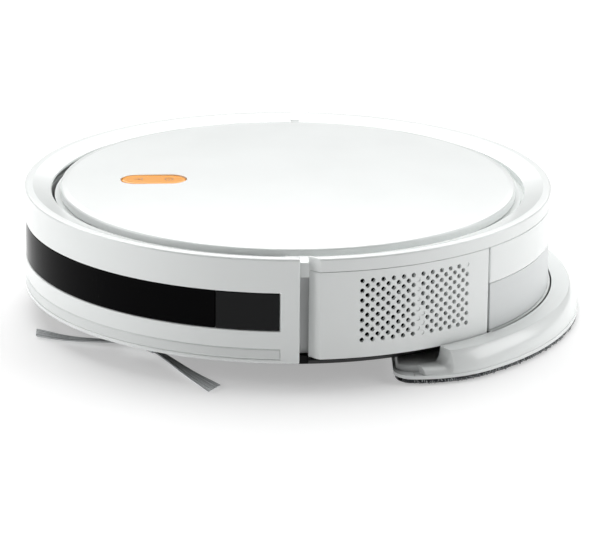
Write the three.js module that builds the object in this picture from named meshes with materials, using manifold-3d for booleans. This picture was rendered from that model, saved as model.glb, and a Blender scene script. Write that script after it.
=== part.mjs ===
// Robot vacuum with a mop plate, in millimetres. +Z is up, the robot drives towards -Y, and +X is its left.
// The origin is on the floor under the middle of the whole object. The round body's own axis stands a
// little in front of it, because the mop plate reaches further back than the bumper reaches forward.
import * as THREE from "three";
import { mergeVertices } from "three/addons/utils/BufferGeometryUtils.js";
import Module from "manifold-3d";

const wasm = await Module();
wasm.setup();

// Driving dimensions. Heights are above the floor, radii are from the body's axis, and angles are in
// degrees from the front, positive towards the robot's left.
const BODY_RADIUS = 162.5;
const MOP_RADIUS = 181.5;
const HEIGHT = 80;
const WALL = 2.5;
const THIN = 2;
const GAP = 0.3;
const FACET = 6;

const BASE_BOTTOM = 12;
const BASE_TOP = 17.5;
const BASE_FRONT_RADIUS = 154;
const BASE_REAR_RADIUS = 160.2;
const INSIDE_FLOOR = BASE_TOP + GAP;
const DECK_BOTTOM = 69.5;
const DECK_TOP = 72;
const DECK_RADIUS = 144;
const RING_TOP = 79;
const RING_BOTTOM = 71.8;
const RING_FLAT_RADIUS = 157.5;
const RING_INNER_RADIUS = 146;
const RING_INNER_HEIGHT = 75.6;
const LID_RADIUS = 140.5;

const BUMPER_BOTTOM = 15.3;
const BUMPER_END = 91.6;
const BUMPER_TRAVEL = 4;
const WINDOW_BOTTOM = 35.2;
const WINDOW_TOP = 58.2;
const WINDOW_END = 87.6;
const WINDOW_SEAM = 74.2;
const STRIP_BOTTOM = 18.2;
const STRIP_TOP = 23.8;
const INNER_WALL_RADIUS = 150.5;

const PANEL_START = 95.3;
const PANEL_END = 136;
const PANEL_TOP = 70.5;
const VENT_START = 104.4;
const VENT_END = 129.4;
const VENT_BOTTOM = 28.5;
const VENT_TOP = 64.5;
const VENT_COLUMNS = 7;
const VENT_ROWS = 3;
const VENT_SLOT_WIDTH = 3;
const VENT_SLOT_HEIGHT = 9;

const WHEEL_RADIUS = 34;
const WHEEL_INNER = 96;
const WHEEL_OUTER = 114;
const TYRE_THICKNESS = 7;
const AXLE = { y: 6, z: WHEEL_RADIUS };
const WHEEL_PIVOT = { y: -44, z: 38 };
const ARM_INNER = 81;
const ARM_OUTER = 94.5;

const CASTER = { x: 0, y: -122 };
const CASTER_WHEEL_RADIUS = 9.5;
const CASTER_TRAIL = 3.5;
const CASTER_FORK_RADIUS = 15.5;

const BRUSH = { y: 8, z: 19.5 };
const BRUSH_RADIUS = 18;
const BRUSH_CORE_RADIUS = 9;
const BRUSH_HALF_LENGTH = 72;
const BRUSH_FINS = 6;
const CHAMBER_HALF_LENGTH = 76;
const DUCT_END = 48.7;

const SIDE_BRUSH = { x: 95, y: -88 };
const TUFTS = [
  { angle: -115, length: 72, bow: -5 },
  { angle: 30, length: 82, bow: -2 },
  { angle: 152, length: 78, bow: -3 },
];

const FAN = { x: 110, y: 64 };
const FAN_RADIUS = 19.5;

const BOX_HALF_WIDTH = 89;
const BOX_FRONT = 50;
const BOX_REAR = 104.5;
const MODULE_BOTTOM = 18.8;
const MODULE_TOP = 65.5;
const MODULE_START = 136.5;
const TANK_RADIUS = 158;
const TANK_FRONT = 105;
const COVER_BOTTOM = 50;
const COVER_TOP = 70.2;

const MOP_FRONT = 60;
const MOP_HALF_WIDTH = 155;
const MOP_CORNER = 12;
const MOP_SIDE_RADIUS = 70;
const PAD_THICKNESS = 3;
const PLATE_BOTTOM = PAD_THICKNESS + GAP;
const PLATE_TOP = 5.3;
const LEDGE_TOP = 18.3;
const LEDGE_START = 122.5;

const KEY = { x: 0, y: -83, length: 40.2, width: 19.2 };

// ---- Materials ----

const plastic = (color, roughness) => new THREE.MeshStandardMaterial({ color, roughness, metalness: 0 });
const metal = (color, roughness) => new THREE.MeshStandardMaterial({ color, roughness, metalness: 1 });
const white = () => plastic(0xf2f5f4, 0.3);
const black = () => plastic(0x1b1c1e, 0.55);
const grey = () => plastic(0x6c7073, 0.6);

// ---- Outlines: lists of points in the XY plane ----

const rad = THREE.MathUtils.degToRad;
const at = (x, y) => new THREE.Vector2(x, y);
const polar = (radius, angle) => at(radius * Math.sin(rad(angle)), -radius * Math.cos(rad(angle)));

function arc(radius, from, to, step = FACET) {
  const count = Math.max(1, Math.round(Math.abs(to - from) / step));
  return Array.from({ length: count + 1 }, (_, i) => polar(radius, from + ((to - from) * i) / count));
}

const circle = (x, y, radius, sides = 24) =>
  Array.from({ length: sides }, (_, i) => polar(radius, (360 * i) / sides).add(at(x, y)));

const band = (inner, outer, from, to) => [...arc(outer, from, to), ...arc(inner, to, from)];

const rectangle = (x0, x1, y0, y1) => [at(x0, y0), at(x1, y0), at(x1, y1), at(x0, y1)];

// A slot with round ends, its length along Y.
const stadium = (x, y, length, width) =>
  [
    ...arc(width / 2, -90, 90, 15).map((p) => p.add(at(x, y - (length - width) / 2))),
    ...arc(width / 2, 90, 270, 15).map((p) => p.add(at(x, y + (length - width) / 2))),
  ];

// ---- Solids ----

function prism(points, bottom, top, holes = []) {
  const shape = new THREE.Shape(points);
  shape.holes = holes.map((hole) => new THREE.Path(hole));
  const options = { depth: top - bottom, bevelEnabled: false, curveSegments: 1 };
  return new THREE.ExtrudeGeometry(shape, options).translate(0, 0, bottom);
}

// A prism of an outline in the YZ plane, from one X to another.
function slab(points, from, to) {
  const turn = new THREE.Matrix4().makeBasis(
    new THREE.Vector3(0, 1, 0),
    new THREE.Vector3(0, 0, 1),
    new THREE.Vector3(1, 0, 0),
  );
  return prism(points, from, to).applyMatrix4(turn);
}

function block(x0, x1, y0, y1, z0, z1) {
  return new THREE.BoxGeometry(x1 - x0, y1 - y0, z1 - z0).translate((x0 + x1) / 2, (y0 + y1) / 2, (z0 + z1) / 2);
}

// A solid of revolution about Z. The outline is [radius, height] pairs, anticlockwise seen with the radius
// to the right. It either starts and ends on the axis or closes on itself.
function turned(outline, segments = 360 / FACET) {
  const points = outline.map(([radius, height]) => at(radius, height));
  if (outline[0][0] > 0) points.push(points[0].clone());
  return new THREE.LatheGeometry(points, segments).rotateX(Math.PI / 2);
}

const cylinder = (x, y, radius, bottom, top, sides = 24) => prism(circle(x, y, radius, sides), bottom, top);

const crossRod = (y, z, radius, from, to, sides = 20) => slab(circle(y, z, radius, sides), from, to);

function solid(geometry) {
  const bare = geometry.index ? geometry.toNonIndexed() : geometry.clone();
  bare.deleteAttribute("normal");
  bare.deleteAttribute("uv");
  const merged = mergeVertices(bare, 1e-4);
  return new wasm.Manifold(
    new wasm.Mesh({
      numProp: 3,
      vertProperties: merged.attributes.position.array,
      triVerts: new Uint32Array(merged.index.array),
    }),
  );
}

function surface(manifold) {
  const { vertProperties, triVerts } = manifold.getMesh();
  const geometry = new THREE.BufferGeometry();
  geometry.setAttribute("position", new THREE.BufferAttribute(vertProperties, 3));
  geometry.setIndex(new THREE.BufferAttribute(triVerts, 1));
  return geometry;
}

const combine = (first, others, how) =>
  surface(others.reduce((body, other) => body[how](solid(other)), solid(first)));
const cut = (body, ...tools) => combine(body, tools, "subtract");
const join = (body, ...others) => combine(body, others, "add");
const common = (body, ...others) => combine(body, others, "intersect");

// The wedge of space between two angles, to cut a sector out of a turned ring.
const wedge = (from, to) => prism([at(0, 0), ...arc(2 * MOP_RADIUS, from, to, 20)], -HEIGHT, 2 * HEIGHT);

// A compression spring standing on z = 0: a square wire along a helix.
class Helix extends THREE.Curve {
  constructor(radius, height, turns) {
    super();
    Object.assign(this, { radius, height, turns });
  }
  getPoint(t, target = new THREE.Vector3()) {
    const angle = 2 * Math.PI * this.turns * t;
    return target.set(this.radius * Math.cos(angle), this.radius * Math.sin(angle), this.height * t);
  }
}

function spring(radius, wire, height, turns) {
  const half = wire / 2;
  const section = new THREE.Shape(rectangle(-half, half, -half, half));
  const extrudePath = new Helix(radius - half, height - wire, turns);
  return new THREE.ExtrudeGeometry(section, { steps: turns * 6, bevelEnabled: false, extrudePath }).translate(
    0,
    0,
    half,
  );
}

// ---- The robot, built about its own axis ----

const robot = new THREE.Group();
robot.position.y = (BODY_RADIUS - MOP_RADIUS) / 2;

function piece(name, geometry, material) {
  geometry.computeVertexNormals();
  const mesh = new THREE.Mesh(geometry, material);
  mesh.name = name;
  robot.add(mesh);
  return mesh;
}

const SIDES = [
  { side: 1, name: "left" },
  { side: -1, name: "right" },
];

// Runs a maker for the robot's left and right. It gives a geometry on the left, which is mirrored.
function mirrored(geometry) {
  const flipped = geometry.index ? geometry.toNonIndexed() : geometry.clone();
  flipped.scale(-1, 1, 1);
  const p = flipped.attributes.position;
  for (let i = 0; i < p.count; i += 3) {
    const [x, y, z] = [p.getX(i), p.getY(i), p.getZ(i)];
    p.setXYZ(i, p.getX(i + 1), p.getY(i + 1), p.getZ(i + 1));
    p.setXYZ(i + 1, x, y, z);
  }
  return flipped;
}

function pair(stem, geometry, material) {
  for (const { side, name } of SIDES) {
    piece(`${name}_${stem}`, side > 0 ? geometry.clone() : mirrored(geometry), material());
  }
}

// ---- Base plate and what is set into its underside ----

const WHEEL_BAY = { x0: 79.5, x1: 116.5, y0: -58, y1: 43 };
const BRUSH_MOUTH = { x: 76.5, y0: -15, y1: 33 };
const BATTERY_BAY = { x: 42.5, y0: -99.5, y1: -22.5 };
const CLIFF_FRONT = rectangle(-12, 12, -150, -143);
const CLIFF_SIDE = rectangle(126, 134, -58, -38);
const CONTACT = rectangle(20, 40, -137, -129);
const DOOR_SCREW = { x: 36, y: -61 };
const DOOR_BOTTOM = BASE_BOTTOM + GAP;
const DOOR_TOP = 14.9;

const flipX = (points) => points.map((p) => at(-p.x, p.y));
const grown = (points, by) => {
  const middle = points.reduce((sum, p) => sum.add(p), at(0, 0)).divideScalar(points.length);
  return points.map((p) => at(p.x + by * Math.sign(p.x - middle.x), p.y + by * Math.sign(p.y - middle.y)));
};

function basePlate() {
  const outline = [
    ...arc(BASE_FRONT_RADIUS, -94, 94),
    ...arc(BASE_REAR_RADIUS, PANEL_START, 360 - PANEL_START),
  ];
  const wheelBay = rectangle(WHEEL_BAY.x0, WHEEL_BAY.x1, WHEEL_BAY.y0, WHEEL_BAY.y1);
  const holes = [
    wheelBay,
    flipX(wheelBay),
    rectangle(-BRUSH_MOUTH.x, BRUSH_MOUTH.x, BRUSH_MOUTH.y0, BRUSH_MOUTH.y1),
    rectangle(-BATTERY_BAY.x, BATTERY_BAY.x, BATTERY_BAY.y0, BATTERY_BAY.y1),
    circle(CASTER.x, CASTER.y, CASTER_FORK_RADIUS + 1),
    circle(SIDE_BRUSH.x, SIDE_BRUSH.y, 4, 12),
    circle(-SIDE_BRUSH.x, SIDE_BRUSH.y, 4, 12),
    grown(CLIFF_FRONT, GAP),
    grown(CLIFF_SIDE, GAP),
    grown(flipX(CLIFF_SIDE), GAP),
    grown(CONTACT, GAP),
    grown(flipX(CONTACT), GAP),
  ];
  return prism(outline, BASE_BOTTOM, BASE_TOP, holes);
}

function batteryDoor() {
  const { x, y0, y1 } = BATTERY_BAY;
  const plate = block(-x + GAP, x - GAP, y0 + GAP, y1 - GAP, DOOR_BOTTOM, DOOR_TOP);
  const screwHoles = [1, -1].map((side) => cylinder(side * DOOR_SCREW.x, DOOR_SCREW.y, 3.2, 0, HEIGHT, 16));
  return cut(plate, ...screwHoles);
}

// A pan-head screw with its head down, flush with the door.
const doorScrew = () =>
  turned([[0, DOOR_BOTTOM], [2.8, DOOR_BOTTOM], [2.8, 14.4], [1.4, 14.4], [1.4, 17.2], [0, 17.2]], 12).translate(
    DOOR_SCREW.x,
    DOOR_SCREW.y,
    0,
  );

piece("base_plate", basePlate(), black());
piece("battery_door", batteryDoor(), black());
pair("door_screw", doorScrew(), () => metal(0x9a9c9e, 0.35));
piece("battery_pack", block(-38, 38, -95, -27, INSIDE_FLOOR + 0.5, 40), plastic(0x2f6fb5, 0.5));
piece("front_cliff_window", prism(CLIFF_FRONT, DOOR_BOTTOM, DOOR_TOP), plastic(0x2a0f12, 0.15));
pair("cliff_window", prism(CLIFF_SIDE, DOOR_BOTTOM, DOOR_TOP), () => plastic(0x2a0f12, 0.15));
pair("charging_contact", prism(CONTACT, BASE_BOTTOM - GAP, DOOR_TOP), () => metal(0xc9b27a, 0.3));

// ---- Casing ----

const RING_OUTLINE = [
  [BODY_RADIUS, RING_BOTTOM],
  [BODY_RADIUS, RING_TOP - 0.8],
  [BODY_RADIUS - 0.8, RING_TOP],
  [RING_FLAT_RADIUS, RING_TOP],
  [RING_INNER_RADIUS, RING_INNER_HEIGHT],
];

// The flat deck under the lid, and the rear half of the sloped ring around it.
function upperShell() {
  const ring = turned([
    ...RING_OUTLINE,
    [RING_INNER_RADIUS, DECK_TOP - 1],
    [RING_INNER_RADIUS - 4, DECK_TOP - 1],
    [RING_INNER_RADIUS - 4, DECK_BOTTOM],
    [BODY_RADIUS - 3, DECK_BOTTOM],
    [BODY_RADIUS - 3, RING_BOTTOM],
  ]);
  const deck = prism(circle(0, 0, DECK_RADIUS, 360 / FACET), DECK_BOTTOM, DECK_TOP);
  return join(deck, common(ring, wedge(PANEL_START, 360 - PANEL_START)));
}

function topLid() {
  const disc = turned([
    [0, 77.2],
    [LID_RADIUS - 3, 76],
    [LID_RADIUS - 3, DECK_TOP + GAP],
    [LID_RADIUS, DECK_TOP + GAP],
    [LID_RADIUS, 77.2],
    [LID_RADIUS - 0.9, 78.2],
    [LID_RADIUS - 4, 78.6],
    [70, 79.7],
    [0, HEIGHT],
  ]);
  return cut(disc, prism(stadium(KEY.x, KEY.y, KEY.length + 1, KEY.width + 1), 0, 2 * HEIGHT));
}

// A side wall of the casing with its vent: a coarse grid of upright slots.
function sidePanel() {
  const wall = prism(band(BODY_RADIUS - WALL, BODY_RADIUS, PANEL_START, PANEL_END), INSIDE_FLOOR, PANEL_TOP);
  const rowPitch = (VENT_TOP - VENT_BOTTOM) / VENT_ROWS;
  const slots = [];
  for (let column = 0; column < VENT_COLUMNS; column++) {
    const angle = VENT_START + ((VENT_END - VENT_START) * (column + 0.5)) / VENT_COLUMNS;
    for (let row = 0; row < VENT_ROWS; row++) {
      const height = VENT_BOTTOM + rowPitch * (row + 0.5);
      const slot = new THREE.BoxGeometry(VENT_SLOT_WIDTH, 4 * WALL, VENT_SLOT_HEIGHT);
      slots.push(slot.translate(0, -BODY_RADIUS, height).rotateZ(rad(angle)));
    }
  }
  return cut(wall, ...slots);
}

piece("upper_shell", upperShell(), white());
piece("top_lid", topLid(), white());
pair("side_panel", sidePanel(), white);
piece(
  "inner_wall",
  prism(band(INNER_WALL_RADIUS - WALL, INNER_WALL_RADIUS, -PANEL_END, PANEL_END), INSIDE_FLOOR, DECK_BOTTOM - GAP),
  plastic(0xd5d8d8, 0.5),
);

// ---- Bumper ----

function bumperShell() {
  const shell = turned([
    [BODY_RADIUS, BUMPER_BOTTOM],
    ...RING_OUTLINE.slice(1),
    [RING_INNER_RADIUS, RING_INNER_HEIGHT - THIN],
    [RING_FLAT_RADIUS, RING_TOP - WALL],
    [BODY_RADIUS - WALL, RING_TOP - WALL],
    [BODY_RADIUS - WALL, BUMPER_BOTTOM],
  ]);
  const window = prism(
    band(BODY_RADIUS - 2 * WALL, BODY_RADIUS + WALL, -WINDOW_END, WINDOW_END),
    WINDOW_BOTTOM,
    WINDOW_TOP,
  );
  const groove = prism(
    band(BODY_RADIUS - 1.3, BODY_RADIUS + WALL, -WINDOW_END, WINDOW_END),
    STRIP_BOTTOM - GAP,
    STRIP_TOP + GAP,
  );
  return cut(common(shell, wedge(-BUMPER_END, BUMPER_END)), window, groove);
}

const windowPlate = (from, to) =>
  prism(band(BODY_RADIUS - WALL, BODY_RADIUS - GAP, from, to), WINDOW_BOTTOM + GAP, WINDOW_TOP - GAP);

const END_GAP = 0.15;
piece("bumper_shell", bumperShell(), white());
piece("sensor_window", windowPlate(-WINDOW_SEAM + END_GAP, WINDOW_SEAM - END_GAP), plastic(0x0a0a0b, 0.08));
pair("window_end", windowPlate(WINDOW_SEAM, WINDOW_END - END_GAP), () => plastic(0x2a2c2c, 0.2));
piece(
  "bumper_strip",
  prism(
    band(BODY_RADIUS - 1, BODY_RADIUS, -WINDOW_END + END_GAP, WINDOW_END - END_GAP),
    STRIP_BOTTOM,
    STRIP_TOP,
  ),
  plastic(0xe4e8e7, 0.45),
);

const BUMPER_SPRING = { x: 40, radius: 2.5, wire: 0.8, z: 45, turns: 3 };

function bumperSpring() {
  const { x, radius, wire, z, turns } = BUMPER_SPRING;
  const front = -Math.sqrt((BODY_RADIUS - WALL) ** 2 - (x + radius) ** 2);
  const rear = -Math.sqrt(INNER_WALL_RADIUS ** 2 - (x - radius) ** 2);
  const length = rear - front - 2 * GAP - wire;
  return spring(radius, wire, length, turns)
    .rotateX(-Math.PI / 2)
    .translate(x, front + GAP + wire / 2, z);
}

pair("bumper_spring", bumperSpring(), () => metal(0xa8abad, 0.3));

// ---- Drive wheels on sprung arms ----

function wheelArm() {
  const { y: py, z: pz } = WHEEL_PIVOT;
  const pivotEnd = [90, 120, 150, 180, 210, 240, 270].map((a) =>
    at(py + 9 * Math.cos(rad(a)), pz + 9 * Math.sin(rad(a))),
  );
  const axleEnd = [-90, -60, -30, 0, 30, 60, 90].map((a) =>
    at(AXLE.y + 13 * Math.cos(rad(a)), AXLE.z + 13 * Math.sin(rad(a))),
  );
  const housing = slab([...pivotEnd, ...axleEnd], ARM_INNER, ARM_OUTER);
  return join(housing, crossRod(AXLE.y, AXLE.z, 3, ARM_OUTER - 1, 106, 12));
}

const aboutAxle = (geometry) => geometry.rotateY(Math.PI / 2).translate(0, AXLE.y, AXLE.z);

function wheelHub() {
  const rim = WHEEL_RADIUS - TYRE_THICKNESS - GAP;
  const outline = [
    [3.3, WHEEL_INNER + 0.5],
    [rim, WHEEL_INNER + 0.5],
    [rim, WHEEL_OUTER - 1],
    [rim - 3, WHEEL_OUTER - 1],
    [rim - 6, WHEEL_OUTER - 4],
    [9, WHEEL_OUTER - 4],
    [7, WHEEL_OUTER - 1],
    [0, WHEEL_OUTER - 1],
    [0, 107],
    [3.3, 107],
  ];
  return aboutAxle(turned([...outline.slice(8), ...outline.slice(0, 8)], 16));
}

function wheelTyre() {
  const inner = WHEEL_RADIUS - TYRE_THICKNESS;
  const shoulder = WHEEL_RADIUS - 1.5;
  return aboutAxle(
    turned(
      [
        [inner, WHEEL_INNER],
        [shoulder, WHEEL_INNER],
        [WHEEL_RADIUS, WHEEL_INNER + 2],
        [WHEEL_RADIUS, WHEEL_OUTER - 2],
        [shoulder, WHEEL_OUTER],
        [inner, WHEEL_OUTER],
      ],
      24,
    ),
  );
}

const WHEEL_SPRING_BOTTOM = 47.8;
pair("wheel_arm", wheelArm(), () => plastic(0x3a3c3f, 0.55));
pair("wheel_hub", wheelHub(), () => plastic(0x55585b, 0.5));
pair("wheel_tyre", wheelTyre(), () => plastic(0x202122, 0.9));
pair(
  "wheel_spring",
  spring(5, 1.2, DECK_BOTTOM - WHEEL_SPRING_BOTTOM - 2 * GAP, 5).translate(87.5, -12, WHEEL_SPRING_BOTTOM + GAP),
  () => metal(0xa8abad, 0.3),
);

// ---- Caster ----

function casterFork() {
  const { x, y } = CASTER;
  const head = cylinder(x, y, CASTER_FORK_RADIUS, 5.5, 26);
  const stem = cylinder(x, y, 4, 25, 34, 16);
  const slot = block(-6.6, 6.6, y - 20, y + 20, 0, 21.5);
  const axleHole = crossRod(y + CASTER_TRAIL, CASTER_WHEEL_RADIUS, 1.9, -20, 20, 12);
  return cut(join(head, stem), slot, axleHole);
}

function casterWheel() {
  const y = CASTER.y + CASTER_TRAIL;
  const wheel = crossRod(y, CASTER_WHEEL_RADIUS, CASTER_WHEEL_RADIUS, -6, 6, 24);
  return join(wheel, crossRod(y, CASTER_WHEEL_RADIUS, 1.6, -12, 12, 12));
}

// The cup over the caster, with a bore for its stem.
const casterSocket = () =>
  turned(
    [
      [16.2, INSIDE_FLOOR],
      [18, INSIDE_FLOOR],
      [18, 30],
      [4.4, 30],
      [4.4, 26.6],
      [16.2, 26.6],
    ],
    16,
  ).translate(CASTER.x, CASTER.y, 0);

piece("caster_socket", casterSocket(), black());
piece("caster_fork", casterFork(), plastic(0x242527, 0.5));
piece("caster_wheel", casterWheel(), plastic(0x8d9092, 0.5));

// ---- Main brush, its chamber, drive and guard ----

function brushRoller() {
  const outline = [];
  const finHalf = 5;
  for (let fin = 0; fin < BRUSH_FINS; fin++) {
    const middle = (360 / BRUSH_FINS) * fin;
    outline.push(polar(BRUSH_CORE_RADIUS, middle - 18));
    outline.push(polar(BRUSH_CORE_RADIUS, middle - 3 * finHalf));
    outline.push(polar(BRUSH_RADIUS, middle - finHalf));
    outline.push(polar(BRUSH_RADIUS, middle + finHalf));
    outline.push(polar(BRUSH_CORE_RADIUS, middle + 3 * finHalf));
  }
  const placed = outline.map((p) => p.add(at(BRUSH.y, BRUSH.z)));
  const core = slab(placed, -BRUSH_HALF_LENGTH, BRUSH_HALF_LENGTH);
  return join(core, crossRod(BRUSH.y, BRUSH.z, 3, -CHAMBER_HALF_LENGTH, CHAMBER_HALF_LENGTH, 12));
}

// The suction chamber: a hood over the brush that narrows back to the dust box's inlet.
function brushChamber() {
  const hood = (radius, from, to) => {
    const points = [];
    for (let angle = from; angle >= to; angle -= 15) {
      points.push(at(BRUSH.y + radius * Math.cos(rad(angle)), BRUSH.z + radius * Math.sin(rad(angle))));
    }
    return points;
  };
  const outside = [
    at(BRUSH.y - 24, INSIDE_FLOOR),
    ...hood(24, 180, 75),
    at(DUCT_END, 47.5),
    at(DUCT_END, 22.5),
    at(37, INSIDE_FLOOR),
  ];
  const inside = [
    at(BRUSH.y - 22.2, 0),
    ...hood(22.2, 180, 75),
    at(DUCT_END + 10, 46.5),
    at(DUCT_END + 10, 27.7),
    at(33.5, INSIDE_FLOOR),
    at(33.5, 0),
  ];
  const walls = slab(outside, -CHAMBER_HALF_LENGTH, CHAMBER_HALF_LENGTH);
  const room = slab(inside, -CHAMBER_HALF_LENGTH + 1.6, CHAMBER_HALF_LENGTH - 1.6);
  const shaftHoles = crossRod(BRUSH.y, BRUSH.z, 3.4, -2 * CHAMBER_HALF_LENGTH, 2 * CHAMBER_HALF_LENGTH, 12);
  return cut(walls, room, shaftHoles);
}

const GUARD = { x: 78.8, y0: -21, y1: 37, bottom: 8.6, top: BASE_BOTTOM - GAP };

function brushGuard() {
  const { x, y0, y1, bottom, top } = GUARD;
  const opening = rectangle(-73.5, 73.5, -10, 26);
  return prism(rectangle(-x, x, y0, y1), bottom, top, [opening]);
}

const BRUSH_MOTOR = { y: -29, z: 31, radius: 11 };
piece("main_brush", brushRoller(), plastic(0x2b2d30, 0.8));
piece("suction_chamber", brushChamber(), plastic(0x2a2b2d, 0.5));
piece("brush_gearbox", block(76.3, 79.2, -40, 22, INSIDE_FLOOR + GAP, 44), plastic(0x3c3e40, 0.5));
piece(
  "brush_motor",
  crossRod(BRUSH_MOTOR.y, BRUSH_MOTOR.z, BRUSH_MOTOR.radius, 44, 76),
  metal(0x9da0a2, 0.35),
);
piece("brush_guard", brushGuard(), plastic(0x2b2c2e, 0.5));

// ---- Side brushes ----

// One tuft: a fan of bristles that leaves the hub level, bows in plan and comes down to the floor.
function tuft({ angle, length, bow }) {
  const stations = [4, 18, 34, 52, length];
  const halfWidth = (r) => 2.2 + 6.3 * ((r - 4) / (length - 4)) ** 1.5;
  const slant = 3;
  const edge = (sign) =>
    stations.map((r, i) => {
      const bend = bow * Math.sin((Math.PI * r) / length);
      const tip = i === stations.length - 1 ? sign * slant : 0;
      return at(r + tip, bend + sign * halfWidth(r));
    });
  const flat = prism([...edge(-1), ...edge(1).reverse()], 0, 1.2);
  const p = flat.attributes.position;
  for (let i = 0; i < p.count; i++) {
    const down = THREE.MathUtils.smoothstep(p.getX(i), 8, 60);
    p.setZ(i, p.getZ(i) + 3.8 - 3.2 * down);
  }
  return flat.rotateZ(rad(angle));
}

function sideBristles() {
  const collar = cylinder(0, 0, 10, 3.8, 5, 16);
  return join(collar, ...TUFTS.map(tuft)).translate(SIDE_BRUSH.x, SIDE_BRUSH.y, 0);
}

const sideHub = () =>
  turned([[0, 5.3], [9, 5.3], [11, 7], [11, 11], [3, 11.5], [3, 17.9], [0, 17.9]], 16).translate(
    SIDE_BRUSH.x,
    SIDE_BRUSH.y,
    0,
  );

pair("side_brush_hub", sideHub(), () => plastic(0xd8dbdb, 0.45));
pair("side_brush_bristles", sideBristles(), () => plastic(0x85888a, 0.8));
pair("side_brush_motor", cylinder(SIDE_BRUSH.x, SIDE_BRUSH.y, 12, 18.3, 44), () => metal(0x9da0a2, 0.35));

// ---- Fan, speaker, board and switches ----

// A cup open at the top, in which the motor stands and the impeller turns.
const fanHousing = () =>
  turned(
    [
      [0, INSIDE_FLOOR + GAP],
      [FAN_RADIUS, INSIDE_FLOOR + GAP],
      [FAN_RADIUS, 56],
      [FAN_RADIUS - 1.6, 56],
      [FAN_RADIUS - 1.6, 20],
      [0, 20],
    ],
    24,
  ).translate(FAN.x, FAN.y, 0);

function fanImpeller() {
  const disc = cylinder(0, 0, 16, 44.5, 46, 24);
  const boss = cylinder(0, 0, 4, 45, 53, 12);
  const blades = Array.from({ length: 8 }, (_, i) =>
    block(5, 15.5, -0.6, 0.6, 45.5, 53).rotateZ(0.5).translate(0, -3, 0).rotateZ((Math.PI * i) / 4),
  );
  return join(disc, boss, ...blades).translate(FAN.x, FAN.y, 0);
}

const fanMotor = () =>
  turned([[0, 20.4], [9.5, 20.4], [9.5, 40], [1.5, 40], [1.5, 44], [0, 44]], 20).translate(FAN.x, FAN.y, 0);

const speaker = () =>
  turned([[0, 18.2], [9, 18.2], [9, 24], [17.5, 30], [17.5, 33], [14, 33], [6, 28], [0, 28]], 16).translate(
    -FAN.x,
    FAN.y,
    0,
  );

piece("fan_housing", fanHousing(), plastic(0x303235, 0.5));
piece("fan_motor", fanMotor(), metal(0x9da0a2, 0.35));
piece("fan_impeller", fanImpeller(), plastic(0xd8dbdb, 0.4));
piece("speaker", speaker(), plastic(0x1e1f21, 0.6));
piece("main_board", block(-60, 60, -112, -46, 50, 51.6), plastic(0x1f6b3f, 0.5));

const SWITCHES = { dock_switch: -93, power_switch: -73.5 };
for (const [name, y] of Object.entries(SWITCHES)) {
  piece(name, block(-3, 3, y - 3, y + 3, DECK_TOP + GAP, 74.4), plastic(0x1b1c1e, 0.5));
}
piece("control_key", prism(stadium(KEY.x, KEY.y, KEY.length, KEY.width), 74.9, 79.5), plastic(0xf5a00f, 0.35));

// ---- Dust box, water tank and their cover, which slide out at the rear as one ----

const INLET = { x: 70, bottom: 24, top: 46 };
const FILTER = { inner: 80, outer: BOX_HALF_WIDTH - THIN - GAP, y0: 57, y1: 97, bottom: 28.5, top: 57.5 };
const BUTTON = { x: 15.5, front: 152, rear: 161.8, bottom: 54.5, top: 63.5 };

function dustBox() {
  const w = BOX_HALF_WIDTH;
  return cut(
    block(-w, w, BOX_FRONT, BOX_REAR, MODULE_BOTTOM, MODULE_TOP),
    block(-w + THIN, w - THIN, BOX_FRONT + THIN, BOX_REAR - THIN, MODULE_BOTTOM + THIN, HEIGHT),
    block(-INLET.x, INLET.x, BOX_FRONT - 5, BOX_FRONT + 5, INLET.bottom, INLET.top),
    block(w - 5, w + 5, FILTER.y0 + 2, FILTER.y1 - 2, FILTER.bottom + 2, FILTER.top - 2),
  );
}

// The module's outline: narrow between the side walls as far as its shoulder, then out to the round rear.
function moduleOutline(radius, neck, front, shoulder) {
  const start = 180 - THREE.MathUtils.radToDeg(Math.acos(shoulder / radius));
  return [
    at(-neck, front),
    at(neck, front),
    at(neck, shoulder),
    ...arc(radius, start, 360 - start),
    at(-neck, shoulder),
  ];
}

const TANK_SHOULDER = polar(TANK_RADIUS, MODULE_START + 0.4).y;

function waterTank() {
  const notch = (margin) =>
    block(
      -BUTTON.x - 4 - margin,
      BUTTON.x + 4 + margin,
      BUTTON.front - 3 - margin,
      MOP_RADIUS,
      COVER_BOTTOM - margin,
      HEIGHT,
    );
  const outline = (inset) =>
    moduleOutline(TANK_RADIUS - inset, BOX_HALF_WIDTH - inset, TANK_FRONT + inset, TANK_SHOULDER + inset);
  const outside = cut(prism(outline(0), MODULE_BOTTOM, MODULE_TOP), notch(0));
  const inside = cut(prism(outline(THIN), MODULE_BOTTOM + THIN, HEIGHT), notch(THIN));
  return cut(outside, inside);
}

function rearCover() {
  const skirt = prism(
    band(BODY_RADIUS - WALL, BODY_RADIUS, MODULE_START, 360 - MODULE_START),
    COVER_BOTTOM,
    COVER_TOP,
  );
  const rim = BODY_RADIUS - 1.5;
  const topOutline = moduleOutline(rim, BOX_HALF_WIDTH, BOX_FRONT, polar(rim, MODULE_START).y);
  const top = prism(topOutline, MODULE_TOP + GAP, MODULE_TOP + GAP + WALL);
  const window = block(
    -BUTTON.x - 0.5,
    BUTTON.x + 0.5,
    BUTTON.front,
    MOP_RADIUS,
    BUTTON.bottom - 0.5,
    BUTTON.top + 0.5,
  );
  return cut(join(skirt, top), window);
}

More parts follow.
